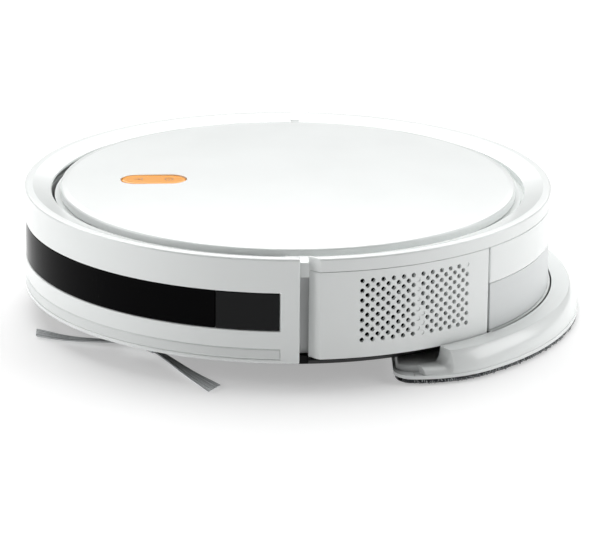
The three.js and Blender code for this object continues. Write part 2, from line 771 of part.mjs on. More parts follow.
// A pleated filter block in the outlet to the fan.
function dustFilter() {
  const pleats = 8;
  const pitch = (FILTER.y1 - FILTER.y0) / (2 * pleats);
  const zigzag = (x, depth) =>
    Array.from({ length: 2 * pleats + 1 }, (_, i) => at(x - (i % 2) * depth, FILTER.y0 + pitch * i));
  const outline = [...zigzag(FILTER.outer, 2), ...zigzag(FILTER.inner + 2, 2).reverse()];
  return prism(outline, FILTER.bottom, FILTER.top);
}

piece("dust_box", dustBox(), plastic(0x5a5e61, 0.3));
piece("water_tank", waterTank(), plastic(0xdfe5e6, 0.35));
piece("rear_cover", rearCover(), white());
piece("dust_filter", dustFilter(), plastic(0xe9ebe8, 0.9));
piece("inlet_flap", block(-71.5, 71.5, 52.4, 53.6, 23, 47.8), plastic(0x232426, 0.8));
piece(
  "release_button",
  block(-BUTTON.x, BUTTON.x, BUTTON.front, BUTTON.rear, BUTTON.bottom, BUTTON.top),
  plastic(0xc9cdce, 0.4),
);

// ---- Mop plate and pad ----

// A straight front edge with rounded corners, then a side arc that runs smoothly into the round rear.
function mopOutline(inset) {
  const front = MOP_FRONT + inset;
  const corner = MOP_CORNER - inset;
  const middle = at(MOP_HALF_WIDTH - MOP_CORNER, MOP_FRONT + MOP_CORNER);
  const sideX = MOP_HALF_WIDTH - MOP_SIDE_RADIUS;
  const sideY = Math.sqrt((MOP_RADIUS - MOP_SIDE_RADIUS) ** 2 - sideX ** 2);
  const blend = 90 + THREE.MathUtils.radToDeg(Math.atan2(sideY, sideX));
  const left = [
    at(middle.x, front),
    ...arc(corner, 22.5, 90, 22.5).map((p) => p.add(middle)),
    ...arc(MOP_SIDE_RADIUS - inset, 90, blend, 8).map((p) => p.add(at(sideX, sideY))),
  ];
  const rear = arc(MOP_RADIUS - inset, blend, 360 - blend).slice(1, -1);
  return [...left, ...rear, ...flipX(left).reverse()];
}

// The plate that holds the pad, with the raised ledge round the body's rear and a low finger notch at
// each front end of it.
function mopHolder() {
  const plate = prism(mopOutline(0), PLATE_BOTTOM, PLATE_TOP);
  const ledge = turned([
    [BODY_RADIUS + 0.8, PLATE_BOTTOM + 1],
    [MOP_RADIUS - 0.7, PLATE_BOTTOM + 1],
    [MOP_RADIUS - 0.7, 8],
    [MOP_RADIUS - 1.4, 12.5],
    [MOP_RADIUS - 3.2, 16],
    [MOP_RADIUS - 6, 17.9],
    [MOP_RADIUS - 10, LEDGE_TOP],
    [BODY_RADIUS + 0.8, LEDGE_TOP],
  ]);
  const notchTop = 9.2;
  const lowEnd = (sign) =>
    join(
      block(...[sign * 112, sign * 139].sort((a, b) => a - b), MOP_FRONT + 3, 92, PLATE_TOP - 1, notchTop),
      block(...[sign * 138, sign * 143].sort((a, b) => a - b), 77.5, 80, PLATE_TOP - 1, notchTop),
    );
  const outside = prism(mopOutline(0.4), 0, HEIGHT);
  return join(plate, common(ledge, wedge(LEDGE_START, 360 - LEDGE_START), outside), lowEnd(1), lowEnd(-1));
}

piece("mop_holder", mopHolder(), white());
piece("mop_pad", prism(mopOutline(1), 0, PAD_THICKNESS), plastic(0x55585c, 0.95));

export default robot;
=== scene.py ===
"""Robot vacuum with a mop plate: its finished surfaces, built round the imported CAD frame.

Shapes are written in millimetres about the round body's own axis, and make_piece turns them into metres
in the frame. +Z is up, the robot drives towards -Y, and +X is its left. Plan angles are in degrees from
the front, positive towards the left.
"""

import math
import random
from collections import Counter

import bmesh
import bpy
from bpy.props import FloatProperty, FloatVectorProperty, IntProperty, PointerProperty
from mathutils import Matrix, Vector
from mathutils.geometry import tessellate_polygon


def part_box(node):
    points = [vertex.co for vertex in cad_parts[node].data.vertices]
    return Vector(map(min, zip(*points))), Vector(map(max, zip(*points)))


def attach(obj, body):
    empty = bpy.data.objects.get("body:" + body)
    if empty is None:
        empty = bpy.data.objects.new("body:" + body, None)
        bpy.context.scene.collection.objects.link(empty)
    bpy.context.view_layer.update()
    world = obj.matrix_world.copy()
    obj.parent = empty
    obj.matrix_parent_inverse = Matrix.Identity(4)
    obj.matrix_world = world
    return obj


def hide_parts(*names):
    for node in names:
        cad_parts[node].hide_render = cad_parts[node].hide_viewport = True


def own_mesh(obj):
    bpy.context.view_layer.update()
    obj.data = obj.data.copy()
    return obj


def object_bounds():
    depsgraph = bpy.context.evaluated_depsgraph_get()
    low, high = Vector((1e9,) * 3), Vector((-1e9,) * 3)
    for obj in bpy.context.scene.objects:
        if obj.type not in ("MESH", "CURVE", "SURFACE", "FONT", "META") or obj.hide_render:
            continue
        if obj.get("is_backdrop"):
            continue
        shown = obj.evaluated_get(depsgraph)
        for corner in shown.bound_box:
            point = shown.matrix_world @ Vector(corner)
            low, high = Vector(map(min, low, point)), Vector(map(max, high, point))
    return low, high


bl_info = {
    "name": "Robot Vacuum",
    "version": (1, 0, 0),
    "blender": (4, 5, 0),
    "location": "View3D > Sidebar > Robot Vacuum",
    "description": "Builds the finished surfaces of a robot vacuum round its CAD frame",
    "category": "Object",
}

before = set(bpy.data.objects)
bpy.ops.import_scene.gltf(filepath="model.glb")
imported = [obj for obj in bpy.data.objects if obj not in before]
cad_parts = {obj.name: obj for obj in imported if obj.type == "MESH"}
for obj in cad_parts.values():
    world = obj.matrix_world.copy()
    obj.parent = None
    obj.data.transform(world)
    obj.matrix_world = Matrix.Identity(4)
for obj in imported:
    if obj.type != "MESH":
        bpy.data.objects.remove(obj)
CAD_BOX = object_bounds()

MM = 0.001
AXIS_Y = sum(corner.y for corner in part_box("top_lid")) / 2


def span(node):
    """A CAD node's lowest and highest corners, in millimetres about the body's axis."""
    return [Vector((c.x, c.y - AXIS_Y, c.z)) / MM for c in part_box(node)]


# Driving dimensions, most of them read from the frame.
BUMPER_LOW, BUMPER_HIGH = span("bumper_shell")
BODY_RADIUS = -BUMPER_LOW.y
BUMPER_BOTTOM = BUMPER_LOW.z
RING_TOP = BUMPER_HIGH.z
WINDOW_LOW, WINDOW_HIGH = span("sensor_window")
STRIP_LOW, STRIP_HIGH = span("bumper_strip")
PANEL_LOW = span("left_side_panel")[0]
LID_LOW, LID_HIGH = span("top_lid")
COVER_LOW = span("rear_cover")[0]
BASE_LOW, BASE_HIGH = span("base_plate")
BOX_LOW, BOX_HIGH = span("dust_box")
TANK_LOW = span("water_tank")[0]
BUTTON_LOW, BUTTON_HIGH = span("release_button")
KEY_LOW, KEY_HIGH = span("control_key")
MOP_LOW, MOP_HIGH = span("mop_holder")
TYRE_LOW, TYRE_HIGH = span("left_wheel_tyre")
BRUSH_HIGH = span("main_brush")[1]
GUARD_LOW, GUARD_HIGH = span("brush_guard")
HUB_LOW, HUB_HIGH = span("left_side_brush_hub")
FORK_HIGH = span("caster_fork")[1]
DOOR_LOW, DOOR_HIGH = span("battery_door")

WALL = 2.5
GAP = 0.3
BUMPER_END = 91.6
WINDOW_END = 87.6
WINDOW_SEAM = 74.2
PANEL_START = 93.6
PANEL_END = 136
COVER_START = 136.5
RING_FLAT_RADIUS = 157.5
RING_INNER_RADIUS = 146
RING_INNER_HEIGHT = 75.6
RING_BOTTOM = 71.0
PANEL_TOP = RING_BOTTOM - GAP
DECK_BOTTOM = 69.5
DECK_TOP = 72
DECK_RADIUS = 144
NOSE_WIDTH = 2.2
NOSE_DEPTH = 6
LID_RADIUS = LID_HIGH.x
MOP_RADIUS = MOP_HIGH.y
FINE = 1.25


def size_property(name, description, size, low, high):
    """A length that is given in millimetres and held in metres."""
    return FloatProperty(
        name=name, description=description, default=size * MM, min=low * MM, max=high * MM, unit="LENGTH"
    )


def power_property(name, description, watts):
    return FloatProperty(name=name, description=description, default=watts, min=0, unit="POWER")


class RobotSizes(bpy.types.PropertyGroup):
    """Sizes of the fine detail."""

    vent_hole: size_property("Vent hole", "Diameter of each round hole in the side vents", 2.7, 1, 4)
    edge: size_property("Moulded edge", "Width of the rounding along the casing's edges", 0.7, 0.1, 1.5)
    bristle: size_property("Bristle", "Diameter of one side brush bristle", 0.5, 0.2, 1)
    bristle_count: IntProperty(
        name="Bristles in a tuft",
        description="How many bristles each side brush tuft has",
        default=90,
        min=10,
        max=300,
    )
    pad_loop: size_property("Pad loop spacing", "Distance between the loops round the mop pad", 1.7, 1, 6)


def linear(code):
    """An sRGB hex code as linear red, green and blue."""
    parts = [int(code[i : i + 2], 16) / 255 for i in (0, 2, 4)]
    return [c / 12.92 if c <= 0.04045 else ((c + 0.055) / 1.055) ** 2.4 for c in parts]


def colour_property(name, description, code):
    return FloatVectorProperty(
        name=name, description=description, default=linear(code), subtype="COLOR", size=3, min=0, max=1
    )


class RobotColours(bpy.types.PropertyGroup):
    """Colours that a maker offers the robot in."""

    casing: colour_property("Casing", "Gloss ABS of the bumper, lid, panels and mop holder", "F3F6F5")
    inner: colour_property("Inner wall", "Matt ABS behind the bumper", "E8EAEA")
    base: colour_property("Base", "Textured ABS of the underside", "0C0D0E")
    window: colour_property("Sensor window", "Smoked polycarbonate in the bumper", "050506")
    key: colour_property("Key", "Polycarbonate of the control key", "F5A00F")
    key_print: colour_property("Key print", "Ink of the two signs on the key", "9A5A08")
    pad: colour_property("Mop pad", "Looped microfibre of the mop pad", "4B4E52")
    bristles: colour_property("Bristles", "Nylon of the side brushes", "C6C9CA")


class StageSettings(bpy.types.PropertyGroup):
    """The floor and the studio light."""

    floor: colour_property("Floor", "Opal acrylic that the robot stands on", "DADADA")
    overhead: power_property("Overhead light", "Power of the softbox above and behind the robot", 100)
    ends: power_property("End lights", "Power of each softbox beyond the robot's front and rear", 13)


# ---- Outlines and shapes: a shape is a list of points and a list of faces ----


def polar(radius, angle):
    turn = math.radians(angle)
    return radius * math.sin(turn), -radius * math.cos(turn)


def steps(start, end, size):
    count = max(1, round(abs(end - start) / size))
    return [start + (end - start) * i / count for i in range(count + 1)]


def arc(radius, start, end, centre=(0, 0), step=FINE):
    turns = [polar(radius, angle) for angle in steps(start, end, step)]
    return [(centre[0] + x, centre[1] + y) for x, y in turns]


def circle(x, y, radius, sides=40):
    return arc(radius, 0, 360, (x, y), 360 / sides)[:-1]


def rectangle(x0, x1, y0, y1, corner=0.0):
    """A rectangle, anticlockwise, with its corners rounded if corner is given."""
    if not corner:
        return [(x0, y0), (x1, y0), (x1, y1), (x0, y1)]
    centres = [(x1 - corner, y0 + corner), (x1 - corner, y1 - corner)]
    centres += [(x0 + corner, y1 - corner), (x0 + corner, y0 + corner)]
    points = []
    for quarter, centre in enumerate(centres):
        points += arc(corner, 90 * quarter, 90 * quarter + 90, centre, 15)
    return points


def stadium(x, y, length, width):
    """A slot with round ends, its length along Y."""
    reach = (length - width) / 2
    return arc(width / 2, -90, 90, (x, y - reach), 6) + arc(width / 2, 90, 270, (x, y + reach), 6)


def softened(corners, turn=15):
    """A path through (a, b, radius) corners, each with an arc of its radius, in steps of turn degrees."""
    path = []
    for i, (a, b, radius) in enumerate(corners):
        here = Vector((a, b))
        if not radius or i in (0, len(corners) - 1):
            path.append((a, b))
            continue
        before = (Vector(corners[i - 1][:2]) - here).normalized()
        after = (Vector(corners[i + 1][:2]) - here).normalized()
        half = before.angle(after) / 2
        reach = radius / math.tan(half)
        centre = here + (before + after).normalized() * radius / math.sin(half)
        first = here + before * reach - centre
        sweep_angle = first.angle_signed(here + after * reach - centre)
        count = max(2, round(abs(math.degrees(sweep_angle)) / turn))
        for k in range(count + 1):
            spot = first.copy()
            spot.rotate(Matrix.Rotation(-sweep_angle * k / count, 2))
            path.append(tuple(centre + spot))
    return path


def sweep(rows, loop=False):
    """Joins closed sections of equal length into a solid, with flat ends unless it closes on itself."""
    count = len(rows[0])
    points = [point for row in rows for point in row]
    faces = []
    for i in range(len(rows) if loop else len(rows) - 1):
        a, b = i * count, (i + 1) % len(rows) * count
        faces += [(a + j, a + (j + 1) % count, b + (j + 1) % count, b + j) for j in range(count)]
    if not loop:
        last = (len(rows) - 1) * count
        faces += [tuple(reversed(range(count))), tuple(range(last, last + count))]
    return points, faces


def turned(profile, start=0, end=360, centre=(0, 0), step=FINE):
    """A solid of revolution about Z of a profile of (radius, height) points that closes on itself."""
    whole = end - start >= 360
    rows = []
    for angle in steps(start, end, step)[: -1 if whole else None]:
        x, y = polar(1, angle)
        rows.append([(centre[0] + r * x, centre[1] + r * y, z) for r, z in profile])
    return sweep(rows, whole)


def prism(outline, bottom, top, holes=()):
    loops = [outline, *holes]
    if not holes:
        return stack([(outline, bottom), (outline, top)])
    flat = [point for loop in loops for point in loop]
    triangles = tessellate_polygon([[Vector((x, y, 0)) for x, y in loop] for loop in loops])
    count = len(flat)
    points = [(x, y, z) for z in (bottom, top) for x, y in flat]
    faces = [tuple(t) for t in triangles] + [tuple(i + count for i in reversed(t)) for t in triangles]
    first = 0
    for loop in loops:
        size = len(loop)
        for j in range(size):
            a, b = first + j, first + (j + 1) % size
            faces.append((a, b, b + count, a + count))
        first += size
    return points, faces


def stack(levels, loop=False):
    """A solid through outlines of equal length, each given with its height."""
    return sweep([[(x, y, z) for x, y in outline] for outline, z in levels], loop)


def block(x0, x1, y0, y1, z0, z1, corner=0.0):
    return prism(rectangle(x0, x1, y0, y1, corner), z0, z1)


def thick(outer, inner, faces):
    """A closed wall between two matching sets of points. Every edge that only one face has gets a rim."""
    count = len(outer)
    edges = [(face[k - 1], face[k]) for face in faces for k in range(len(face))]
    used = Counter(frozenset(edge) for edge in edges)
    rims = [(a, b, b + count, a + count) for a, b in edges if used[frozenset((a, b))] == 1]
    return outer + inner, faces + [tuple(i + count for i in reversed(face)) for face in faces] + rims


def curved_wall(angles, outer, inner, keep=lambda angle, height: True):
    """A turned wall between two profiles of equal length, without the cells that keep refuses."""
    rows = len(outer)
    sides = []
    for profile in (outer, inner):
        sides.append([(*polar(r, angle), z) for angle in angles for r, z in profile])
    faces = []
    for i in range(len(angles) - 1):
        for j in range(rows - 1):
            if keep((angles[i] + angles[i + 1]) / 2, (outer[j][1] + outer[j + 1][1]) / 2):
                a, b = i * rows + j, (i + 1) * rows + j
                faces.append((a, b, b + 1, a + 1))
    return thick(*sides, faces)


def tube(path, radius, sides=6, taper=1.0):
    """A round bar along a path, its far end taper times as thick as its start."""
    path = [Vector(p) for p in path]
    rows = []
    side = None
    for i, here in enumerate(path):
        forward = (path[min(i + 1, len(path) - 1)] - path[max(i - 1, 0)]).normalized()
        if side is None:
            side = forward.orthogonal().normalized()
        side = (side - forward * side.dot(forward)).normalized()
        other = forward.cross(side)
        size = radius * (1 + (taper - 1) * i / (len(path) - 1))
        turns = [2 * math.pi * k / sides for k in range(sides)]
        rows.append([tuple(here + (side * math.cos(t) + other * math.sin(t)) * size) for t in turns])
    return sweep(rows)


def moved(shape, x=0.0, y=0.0, z=0.0):
    return [(a + x, b + y, c + z) for a, b, c in shape[0]], shape[1]


def spun(shape, angle):
    """The shape turned anticlockwise about Z."""
    c, s = math.cos(math.radians(angle)), math.sin(math.radians(angle))
    return [(c * x - s * y, s * x + c * y, z) for x, y, z in shape[0]], shape[1]


def flipped(shape):
    """The shape mirrored from the robot's left to its right."""
    return [(-x, y, z) for x, y, z in shape[0]], [tuple(reversed(face)) for face in shape[1]]


def across(shape, y, z):
    """A shape made about the Z axis, laid along X with its axis at y and z."""
    return [(c, y + a, z + b) for a, b, c in shape[0]], shape[1]


# ---- Pieces ----


def make_piece(name, shapes, finish, body, nodes=(), edge=0.0, corner=35, segments=2):
    """Makes one Blender object of some shapes, rounds its sharp edges and puts it on its CAD body."""
    mesh = bpy.data.meshes.new(name)
    bm = bmesh.new()
    for points, faces in shapes:
        spots = [bm.verts.new((x * MM, y * MM + AXIS_Y, z * MM)) for x, y, z in points]
        for face in faces:
            bm.faces.new([spots[i] for i in face])
        bmesh.ops.remove_doubles(bm, verts=spots, dist=1e-6)
    loose = [vert for vert in bm.verts if not vert.link_faces]
    bmesh.ops.delete(bm, geom=loose, context="VERTS")
    bmesh.ops.recalc_face_normals(bm, faces=bm.faces)
    if edge:
        sharp = [e for e in bm.edges if e.is_manifold and e.calc_face_angle() > math.radians(corner)]
        shape = {"offset": edge * MM, "segments": segments, "profile": 0.5, "clamp_overlap": True}
        bmesh.ops.bevel(bm, geom=sharp, affect="EDGES", **shape)
    bm.to_mesh(mesh)
    bm.free()
    mesh.shade_smooth()
    mesh.set_sharp_from_angle(angle=math.radians(50))
    piece = bpy.data.objects.new(name, mesh)
    bpy.context.scene.collection.objects.link(piece)
    mesh.materials.append(bpy.data.materials[FINISHES[finish]])
    piece.modifiers.new("Even shading", "WEIGHTED_NORMAL").keep_sharp = True
    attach(piece, body)
    if nodes:
        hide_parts(*nodes)
    return piece


def make_pair(stem, shapes, finish, body, replaced=True, **options):
    """The same piece for the robot's left and right. body may hold {} for the side's name."""
    for side in ("left", "right"):
        mine = shapes if side == "left" else [flipped(shape) for shape in shapes]
        name = f"{side}_{stem}"
        nodes = [name] if replaced else []
        make_piece(f"fine_{name}", mine, finish, body.format(side), nodes, **options)


def carve(piece, *tools):
    """Cuts closed shapes out of a piece."""
    for shape in tools:
        mesh = bpy.data.meshes.new("tool")
        points = [(x * MM, y * MM + AXIS_Y, z * MM) for x, y, z in shape[0]]
        mesh.from_pydata(points, [], shape[1])
        bm = bmesh.new()
        bm.from_mesh(mesh)
        bmesh.ops.recalc_face_normals(bm, faces=bm.faces)
        bm.to_mesh(mesh)
        bm.free()
        tool = bpy.data.objects.new("tool", mesh)
        bpy.context.scene.collection.objects.link(tool)
        cutter = piece.modifiers.new("Cut", "BOOLEAN")
        cutter.object = tool
        cutter.solver = "EXACT"
        with bpy.context.temp_override(object=piece, active_object=piece):
            bpy.ops.object.modifier_move_to_index(modifier=cutter.name, index=0)
            bpy.ops.object.modifier_apply(modifier=cutter.name)
        bpy.data.objects.remove(tool)
    piece.data.shade_smooth()
    piece.data.set_sharp_from_angle(angle=math.radians(35))
    return piece


# ---- Materials ----

NOISE_FINE = 3.0
COLOUR_A, COLOUR_B, COLOUR_OUT = 6, 7, 2


def add_node(tree, kind, inputs=None, **settings):
    """Adds a node. Each input is linked if it is given a socket, and set if it is given a value."""
    node = tree.nodes.new(kind)
    for name, value in settings.items():
        setattr(node, name, value)
    for name, value in (inputs or {}).items():
        if isinstance(value, bpy.types.NodeSocket):
            tree.links.new(value, node.inputs[name])
        else:
            node.inputs[name].default_value = value
    return node


def start_material(name, **sockets):
    """An empty node material with a Principled shader, and its Object coordinates in metres."""
    material = bpy.data.materials.new(name)
    material.use_nodes = True
    tree = material.node_tree
    shader = tree.nodes["Principled BSDF"]
    for socket, value in sockets.items():
        shader.inputs[socket.replace("_", " ")].default_value = value
    place = add_node(tree, "ShaderNodeTexCoord").outputs["Object"]
    return tree, shader, place


def shade(colour, amount):
    return [min(1, c * amount) for c in colour[:3]] + [1]


def mottle(tree, place, size, colour, spread, detail=NOISE_FINE):
    """Colour that drifts a little over patches of a size in millimetres. Gives the colour and its noise."""
    sockets = {"Vector": place, "Scale": 1 / (size * MM), "Detail": detail}
    noise = add_node(tree, "ShaderNodeTexNoise", sockets)
    mixed = add_node(
        tree,
        "ShaderNodeMix",
        {0: noise.outputs[0], COLOUR_A: shade(colour, 1 - spread), COLOUR_B: shade(colour, 1 + spread)},
        data_type="RGBA",
    )
    return mixed.outputs[COLOUR_OUT], noise.outputs[0]


def roughen(tree, shader, value, low, high):
    """Roughness that goes from low to high with a value."""
    spread = add_node(tree, "ShaderNodeMapRange", {"Value": value, "To Min": low, "To Max": high})
    tree.links.new(spread.outputs[0], shader.inputs["Roughness"])


def bump(tree, shader, height, depth, strength=1.0):
    """Relief of a depth in millimetres."""
    relief = add_node(
        tree, "ShaderNodeBump", {"Height": height, "Distance": depth * MM, "Strength": strength}
    )
    tree.links.new(relief.outputs[0], shader.inputs["Normal"])


def moulded(name, colour, roughness, grain, depth, spread=0.015, **sockets):
    """Injection-moulded plastic: gloss and colour drift over the flow of the melt, and the mould's grain,
    of a size in millimetres, shows as a fine relief."""
    tree, shader, place = start_material(name, **sockets)
    colour_out, flow = mottle(tree, place, 30, colour, spread)
    tree.links.new(colour_out, shader.inputs["Base Color"])
    roughen(tree, shader, flow, roughness * 0.85, roughness * 1.15)
    skin = add_node(tree, "ShaderNodeTexNoise", {"Vector": place, "Scale": 1 / (grain * MM), "Detail": 2.0})
    bump(tree, shader, skin.outputs[0], depth)


def drawn_metal(name, colour, roughness, line):
    """Drawn or turned metal: fine lines one way stretch the highlight across them."""
    tree, shader, place = start_material(name, Metallic=1.0, Anisotropic=0.4)
    stretched = add_node(tree, "ShaderNodeMapping", {"Vector": place, "Scale": (1, 1, 0.08)})
    colour_out, lines = mottle(tree, stretched.outputs[0], line, colour, 0.08)
    tree.links.new(colour_out, shader.inputs["Base Color"])
    roughen(tree, shader, lines, roughness * 0.7, roughness * 1.3)
    bump(tree, shader, lines, 0.01)


def tyre_rubber(name):
    """Moulded rubber: dull and dark, with a dusty bloom in patches and a coarse skin."""
    tree, shader, place = start_material(name, IOR=1.52)
    colour_out, dust = mottle(tree, place, 6, linear("242526"), 0.3)
    tree.links.new(colour_out, shader.inputs["Base Color"])
    roughen(tree, shader, dust, 0.75, 0.95)
    bump(tree, shader, dust, 0.08)


def nylon(name, colour):
    """Drawn nylon monofilament: every bristle has its own shade, with a soft gloss along it."""
    tree, shader, _ = start_material(name, Roughness=0.42, IOR=1.53)
    own = add_node(tree, "ShaderNodeNewGeometry").outputs["Random Per Island"]
    mixed = add_node(
        tree,
        "ShaderNodeMix",
        {0: own, COLOUR_A: shade(colour, 0.4), COLOUR_B: shade(colour, 1.6)},
        data_type="RGBA",
    )
    tree.links.new(mixed.outputs[COLOUR_OUT], shader.inputs["Base Color"])


def microfibre(name, colour):
    """Looped polyester microfibre: matt, with yarn loops 1.2 mm across and the soft sheen of fine fibre. Its
    colour is painted lighter on the loops' tops and darker in the hollows between them: painted light and
    shade that follow the relief.
    """
    tree, shader, place = start_material(name, Roughness=0.95, Sheen_Weight=0.5, Sheen_Roughness=0.4)
    loops = add_node(tree, "ShaderNodeTexVoronoi", {"Vector": place, "Scale": 1 / (1.2 * MM)})
    fibre = add_node(tree, "ShaderNodeTexNoise", {"Vector": place, "Scale": 1 / (0.3 * MM), "Detail": 4.0})
    height = add_node(
        tree, "ShaderNodeMath", {0: loops.outputs["Distance"], 1: fibre.outputs[0]}, operation="ADD"
    )
    # Painted light and shade: lighter on the loops' tops, darker in the hollows between them, following the
    # relief's height.
    mixed = add_node(
        tree,
        "ShaderNodeMix",
        {0: height.outputs[0], COLOUR_A: shade(colour, 1.25), COLOUR_B: shade(colour, 0.55)},
        data_type="RGBA",
    )
    tree.links.new(mixed.outputs[COLOUR_OUT], shader.inputs["Base Color"])
    bump(tree, shader, height.outputs[0], -0.6)


def circuit_board(name):
    """Fibreglass board under green solder mask: copper tracks 1.5 mm apart show as paler lines."""
    tree, shader, place = start_material(name, Roughness=0.35, IOR=1.55, Coat_Weight=0.4)
    tracks = add_node(
        tree,
        "ShaderNodeTexBrick",
        {
            "Vector": place,
            "Scale": 1 / (6 * MM),
            "Mortar Size": 0.08,
            "Color1": shade(linear("1B6238"), 1),
            "Color2": shade(linear("1F6B3F"), 1),
            "Mortar": shade(linear("4E9A5F"), 1),
        },
    )
    tree.links.new(tracks.outputs["Color"], shader.inputs["Base Color"])
    bump(tree, shader, tracks.outputs["Fac"], 0.05)


def battery_wrap(name):
    """Shrink-wrapped PVC: blue, glossy and slightly puckered over the cells, 18 mm apart."""
    tree, shader, place = start_material(name, IOR=1.54)
    colour_out, _ = mottle(tree, place, 8, linear("2F6FB5"), 0.08)
    sockets = {"Vector": place, "Scale": 0.314 / (18 * MM), "Distortion": 0.3}
    cells = add_node(tree, "ShaderNodeTexWave", sockets)
    tree.links.new(colour_out, shader.inputs["Base Color"])
    roughen(tree, shader, cells.outputs["Fac"], 0.25, 0.4)
    bump(tree, shader, cells.outputs["Fac"], 1.0)


def filter_paper(name):
    """Pleated glass-fibre paper: off-white, quite matt, with fibres every half millimetre."""
    tree, shader, place = start_material(name, Roughness=0.95, IOR=1.45, Sheen_Weight=0.2)
    colour_out, fibres = mottle(tree, place, 0.5, linear("E6E7E1"), 0.12)
    tree.links.new(colour_out, shader.inputs["Base Color"])
    bump(tree, shader, fibres, 0.15)


def painted_shade_sheet(name):
    """A near-black sheet behind the vents, painted shade for the dark inside of the body that shows through
    the holes; its relief has cells a millimetre across.
    """
    tree, shader, place = start_material(name, Roughness=1.0, IOR=1.45)
    cells = add_node(tree, "ShaderNodeTexVoronoi", {"Vector": place, "Scale": 1 / (1 * MM)})
    mixed = add_node(
        tree,
        "ShaderNodeMix",
        {
            0: cells.outputs["Distance"],
            COLOUR_A: shade(linear("020202"), 1),
            COLOUR_B: shade(linear("0A0A0B"), 1),
        },
        data_type="RGBA",
    )
    tree.links.new(mixed.outputs[COLOUR_OUT], shader.inputs["Base Color"])
    bump(tree, shader, cells.outputs["Distance"], 0.5)


FINISHES = {
    "white_abs": "Gloss white ABS",
    "strip_tpu": "Satin white TPU",
    "inner_white": "Matt pale ABS",
    "window_black": "Smoked polycarbonate",
    "window_grey": "Grey polycarbonate",
    "black_abs": "Textured black ABS",
    "tyre_rubber": "Moulded tyre rubber",
    "grey_abs": "Grey glass-filled nylon",
    "brush_pale": "Pale acetal",
    "bristle_nylon": "Nylon bristle",
    "brush_fins": "Soft thermoplastic rubber",
    "steel": "Zinc-plated steel",
    "contact_plate": "Nickel-plated brass",
    "sensor_red": "Infrared-pass acrylic",
    "battery_wrap": "PVC shrink wrap",
    "board_green": "Solder-masked fibreglass",
    "smoke_box": "Smoke-tinted polycarbonate",
    "tank_frost": "Frosted polypropylene",
    "filter_paper": "Pleated glass-fibre paper",
    "key_orange": "Orange polycarbonate",
    "mop_cloth": "Looped microfibre",
    "yarn": "Microfibre yarn",
    # Near-black painted shade behind the vents.
    "shade_black": "Painted shade sheet",
    "key_print": "Pad-printed ink",
    "chip": "Epoxy chip package",
}


def make_materials():
    colours = bpy.context.scene.robot_colours
    casing = list(colours.casing)
    # Polished-mould ABS: near-white with a clear, slightly broken gloss.
    moulded("Gloss white ABS", casing, 0.24, 9, 0.012, 0.006, IOR=1.54, Coat_Weight=0.25, Coat_Roughness=0.08)
    # Spark-eroded ABS: the same white without gloss, where only light that has bounced reaches.
    moulded("Matt pale ABS", list(colours.inner), 0.55, 0.8, 0.03, IOR=1.54)
    # Soft polyurethane: satin, a shade darker than the casing.
    moulded("Satin white TPU", linear("E9ECEB"), 0.42, 1.0, 0.02, IOR=1.5)
    # Dark dye that only infrared passes: looks black, with a mirror-like gloss.
    moulded(
        "Smoked polycarbonate", list(colours.window), 0.07, 25, 0.004, IOR=1.585, Specular_IOR_Level=0.02
    )
    moulded("Grey polycarbonate", linear("161718"), 0.16, 12, 0.01, IOR=1.585, Specular_IOR_Level=0.09)
    # Spark-eroded black ABS: a leathery grain of 0.9 mm that scatters the highlight.
    base = list(colours.base)
    moulded("Textured black ABS", base, 0.55, 0.9, 0.05, 0.08, IOR=1.54, Specular_IOR_Level=0.12)
    # Nylon with 30% glass: grey, with swirls of fibre at the surface.
    moulded("Grey glass-filled nylon", linear("5E6264"), 0.55, 1.4, 0.05, 0.1, IOR=1.53)
    # Acetal: pale, waxy and dense.
    moulded("Pale acetal", linear("D5D8D8"), 0.38, 2.0, 0.015, IOR=1.48, Subsurface_Weight=0.1)
    # Injected rubber: dark, dull and a little uneven.
    moulded("Soft thermoplastic rubber", linear("2B2D30"), 0.8, 1.2, 0.06, 0.15, IOR=1.5)
    # Acrylic that passes infrared: a very dark red with a hard gloss.
    moulded("Infrared-pass acrylic", linear("2A0A0E"), 0.08, 15, 0.005, IOR=1.49)
    # Tinted clear plastic: what lies behind shows darker, edges darker still.
    smoke = linear("8A9093")
    moulded("Smoke-tinted polycarbonate", smoke, 0.12, 18, 0.01, IOR=1.585, Transmission_Weight=0.75)
    # Natural polypropylene with a matt mould: milky, lets light through but no image.
    moulded("Frosted polypropylene", linear("EDF0F0"), 0.42, 1.5, 0.02, IOR=1.49, Transmission_Weight=0.15)
    # Tinted in the mass and polished: saturated, with a tight highlight.
    moulded("Orange polycarbonate", list(colours.key), 0.22, 10, 0.01, 0.03, IOR=1.585)
    # Ink lies flat and satin on the key.
    moulded("Pad-printed ink", list(colours.key_print), 0.5, 0.4, 0.01, 0.05)
    moulded("Epoxy chip package", linear("1A1B1C"), 0.6, 0.5, 0.02, 0.1, IOR=1.55)
    drawn_metal("Zinc-plated steel", linear("B9BDBF"), 0.28, 0.4)
    drawn_metal("Nickel-plated brass", linear("D8CDB0"), 0.22, 0.3)
    tyre_rubber("Moulded tyre rubber")
    nylon("Nylon bristle", list(colours.bristles))
    nylon("Microfibre yarn", linear("9EA1A2"))
    microfibre("Looped microfibre", list(colours.pad))
    circuit_board("Solder-masked fibreglass")
    battery_wrap("PVC shrink wrap")
    filter_paper("Pleated glass-fibre paper")
    # A near-black sheet that paints the shade inside the body behind the vents.
    painted_shade_sheet("Painted shade sheet")


# ---- Casing ----

# Corners of the sloped ring round the lid: radius, height and rounding.
RING_CORNERS = [
    (BODY_RADIUS, RING_TOP, 1.3),
    (RING_FLAT_RADIUS, RING_TOP, 1.2),
    (RING_INNER_RADIUS, RING_INNER_HEIGHT, 0),
]


